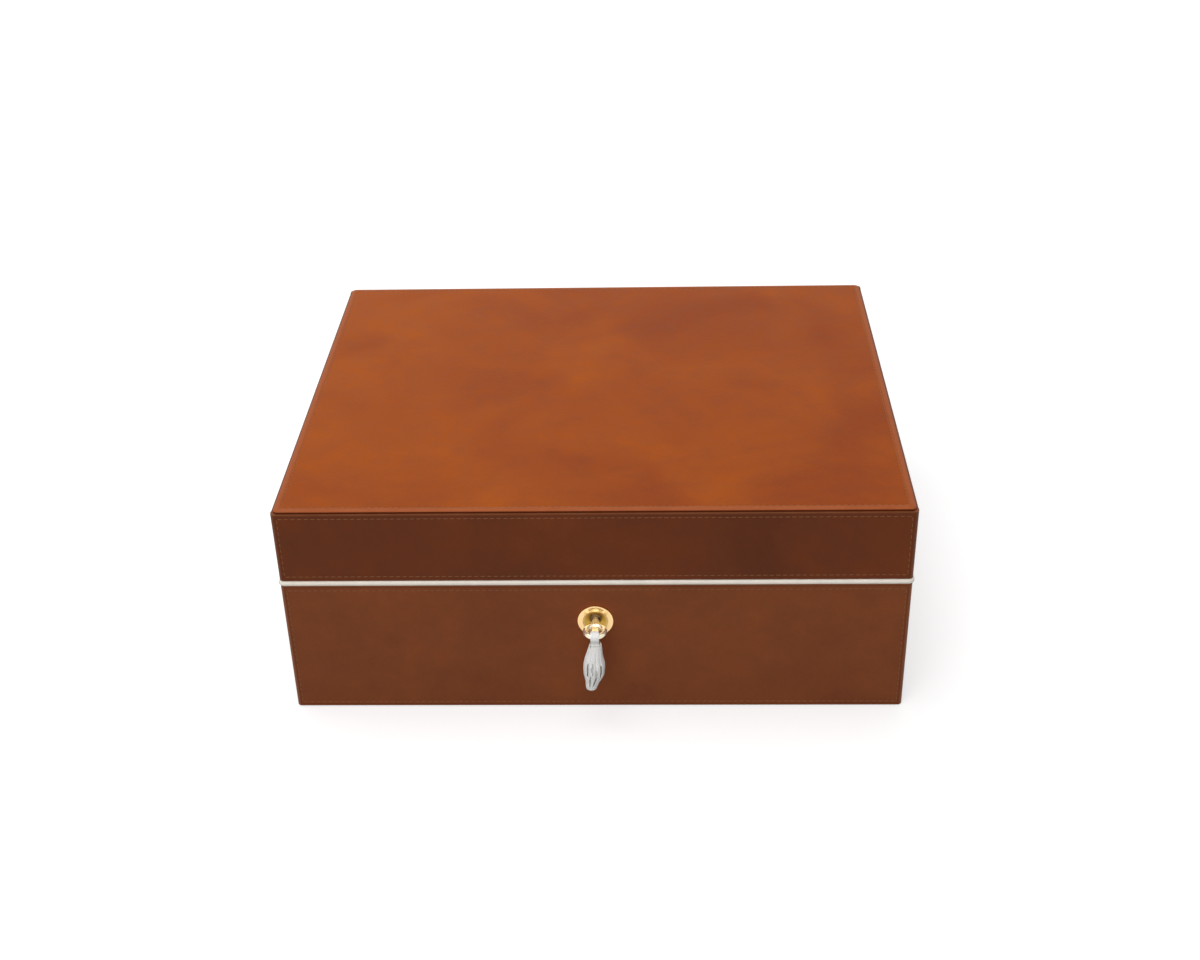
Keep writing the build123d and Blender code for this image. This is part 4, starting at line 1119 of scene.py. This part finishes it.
def tassel_skirt():
    """The skirt: its skin with the cuts between the thongs opened, and the space for the strap."""
    skirt = skirt_tube("tassel_thongs", 0, thong_columns, skirt_rows, 0.6 * mm)

    def in_cut(middle):
        share = (skirt_high.z - middle.z) / skirt_length
        lean = skirt_size(share)[1]
        for cut, start, end in thong_cuts:
            along = (share - start) / (end - start)
            opened = cut_half_angle + cut_opening * math.sin(math.pi * along)
            if 0 < along < 1 and off_cut(middle, lean, cut) < opened:
                return True
        return False

    choose(skirt, "FACE", in_cut)
    bpy.ops.mesh.delete(type="FACE")
    close_piece(skirt)
    axis = Vector((0, rim_y, 0))
    outwards = sum(face.normal.xy.dot((face.center - axis).xy) for face in skirt.data.polygons)
    if outwards < 0:
        skirt.data.flip_normals()
    apply_modifier(skirt, "SOLIDIFY", thickness=0.5 * mm, offset=-1)
    apply_modifier(skirt, "SUBSURF", levels=1)
    cut_strap_slot(skirt)
    return shade(skirt, 60)


def tassel_core():
    """The core inside the skirt, cut away at its top where the strap enters."""
    core = skirt_tube("tassel_core", core_inset, 36, 18, 0.25 * mm)
    for end in (skirt_high.z, skirt_low.z):
        choose(core, "EDGE", lambda middle: abs(middle.z - end) < 0.6 * mm)
        bpy.ops.mesh.edge_face_add()
    close_piece(core)
    cut_strap_slot(core)
    return shade(core, 50)


place_piece(tassel_sleeve(), "loop", "tassel_leather", tassel_hide, "tassel_loop")
place_piece(tassel_strap(), "strap", "tassel_leather", tassel_hide, "tassel_strap")
place_piece(tassel_skirt(), "skirt", "tassel_leather", tassel_hide, "tassel_skirt")
place_piece(tassel_core(), "skirt", "tassel_leather", tassel_hide)


# The humidifier under the lid: a black moulded case with a slotted cover and green foam inside, held
# to the ceiling by two flat magnets.

black_plastic = grained(
    "black_plastic", (0.012, 0.012, 0.013), (0.03, 0.03, 0.032), 2600.0, 0.36, 0.02 * mm
)
finish_nodes(black_plastic, "humidifier_case", "humidifier_grille")


def foam_effect():
    """Open foam: small cells with thin pale walls and hollows darkened with painted shade."""
    group, given = new_group("foam_cells", {"Wall": (0.2, 0.3, 0.12, 1), "Hollow Shade": (0, 0, 0, 1)})
    cells = add_node(group, "ShaderNodeTexVoronoi", {"Vector": given["Vector"], "Scale": 700.0})
    depth = reshape(group, cells.outputs["Distance"], 0.15, 0.65)
    colour = blend_colours(group, depth, given["Hollow Shade"], given["Wall"])
    return give(group, colour, reshape(group, depth, 0.0, 1.0, 0.95, 0.8), depth)


green_foam = dress(
    new_material("green_foam"), foam_effect(), 0.6 * mm,
    {"Wall": (0.16, 0.27, 0.10, 1), "Hollow Shade": (0.03, 0.06, 0.02, 1)},
)
finish_nodes(green_foam, "humidifier_foam")
finish_nodes(metal("nickel", (0.72, 0.70, 0.67), (0.42, 0.40, 0.37), 0.4, 0.2), "humidifier_magnets")


# The hygrometer under the lid: a brass case with a bezel and a glass lens, a white dial with black
# divisions and figures, and a pointer that turns with the air's moisture.

pale_gold = metal("pale_gold", (0.98, 0.71, 0.35), (0.62, 0.42, 0.17), 0.2, 0.17)
finish_nodes(pale_gold, "hygrometer_case", "hygrometer_bezel")
dial_white = grained("dial_white", (0.83, 0.82, 0.77), (0.78, 0.76, 0.70), 900.0, 0.4, 0.005 * mm)
black = ((0.012, 0.012, 0.012), (0.025, 0.025, 0.025))
dial_black = grained("dial_black", *black, 2000.0, 0.35, 0.004 * mm)
finish_nodes(dial_white, "hygrometer_dial")
finish_nodes(dial_black, "hygrometer_pointer")
clear_glass = grained(
    "clear_glass", (0.97, 0.98, 0.98), (0.94, 0.96, 0.96), 40.0, 0.0, 0.001 * mm,
    Transmission_Weight=1.0, IOR=1.46,
)
finish_nodes(clear_glass, "hygrometer_lens")
dial_low, dial_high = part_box("hygrometer_dial")
dial_centre = (dial_low + dial_high) / 2
ink = 0.04 * mm
division_end = 21.4 * mm
figure_radius = 15.2 * mm
figure_size = 3.6 * mm
first_figure = 40
last_figure = 100
middle_figure = 70
degrees_each = 4.5


def dial_place(value, radius):
    """Where a value stands on the dial; the middle figure is at the top when the lid is open."""
    angle = math.radians((value - middle_figure) * degrees_each)
    place = (dial_centre.x + radius * math.sin(angle), dial_centre.y - radius * math.cos(angle), dial_low.z)
    return Vector(place), angle


def dial_marks():
    """The divisions and figures, printed on the dial and facing down."""
    marks = []
    for value in range(first_figure, last_figure + 1, 2):
        long_mark = value % 10 == 0
        reach = (3.4 if long_mark else 2.0) * mm
        place, angle = dial_place(value, division_end - reach / 2)
        mark = start_piece(
            "mark", bpy.ops.mesh.primitive_cube_add, size=1, rotation=(0, 0, angle), location=place,
            scale=((0.5 if long_mark else 0.28) * mm, reach, 2 * ink),
        )
        marks.append(close_piece(mark, 0.0001 * mm))
    for value in range(first_figure, last_figure + 1, 10):
        place, _ = dial_place(value, figure_radius)
        bpy.ops.object.select_all(action="DESELECT")
        bpy.ops.object.text_add(location=place, rotation=(math.pi, 0, 0))
        figure = bpy.context.object
        figure.data.body = str(value)
        figure.data.align_x = "CENTER"
        figure.data.align_y = "CENTER"
        figure.data.size = figure_size
        figure.data.extrude = ink
        bpy.ops.object.convert(target="MESH")
        bpy.ops.object.transform_apply()
        marks.append(figure)
    return join_pieces("dial_marks", marks)


place_piece(dial_marks(), "lid", "pointer_black", dial_black)
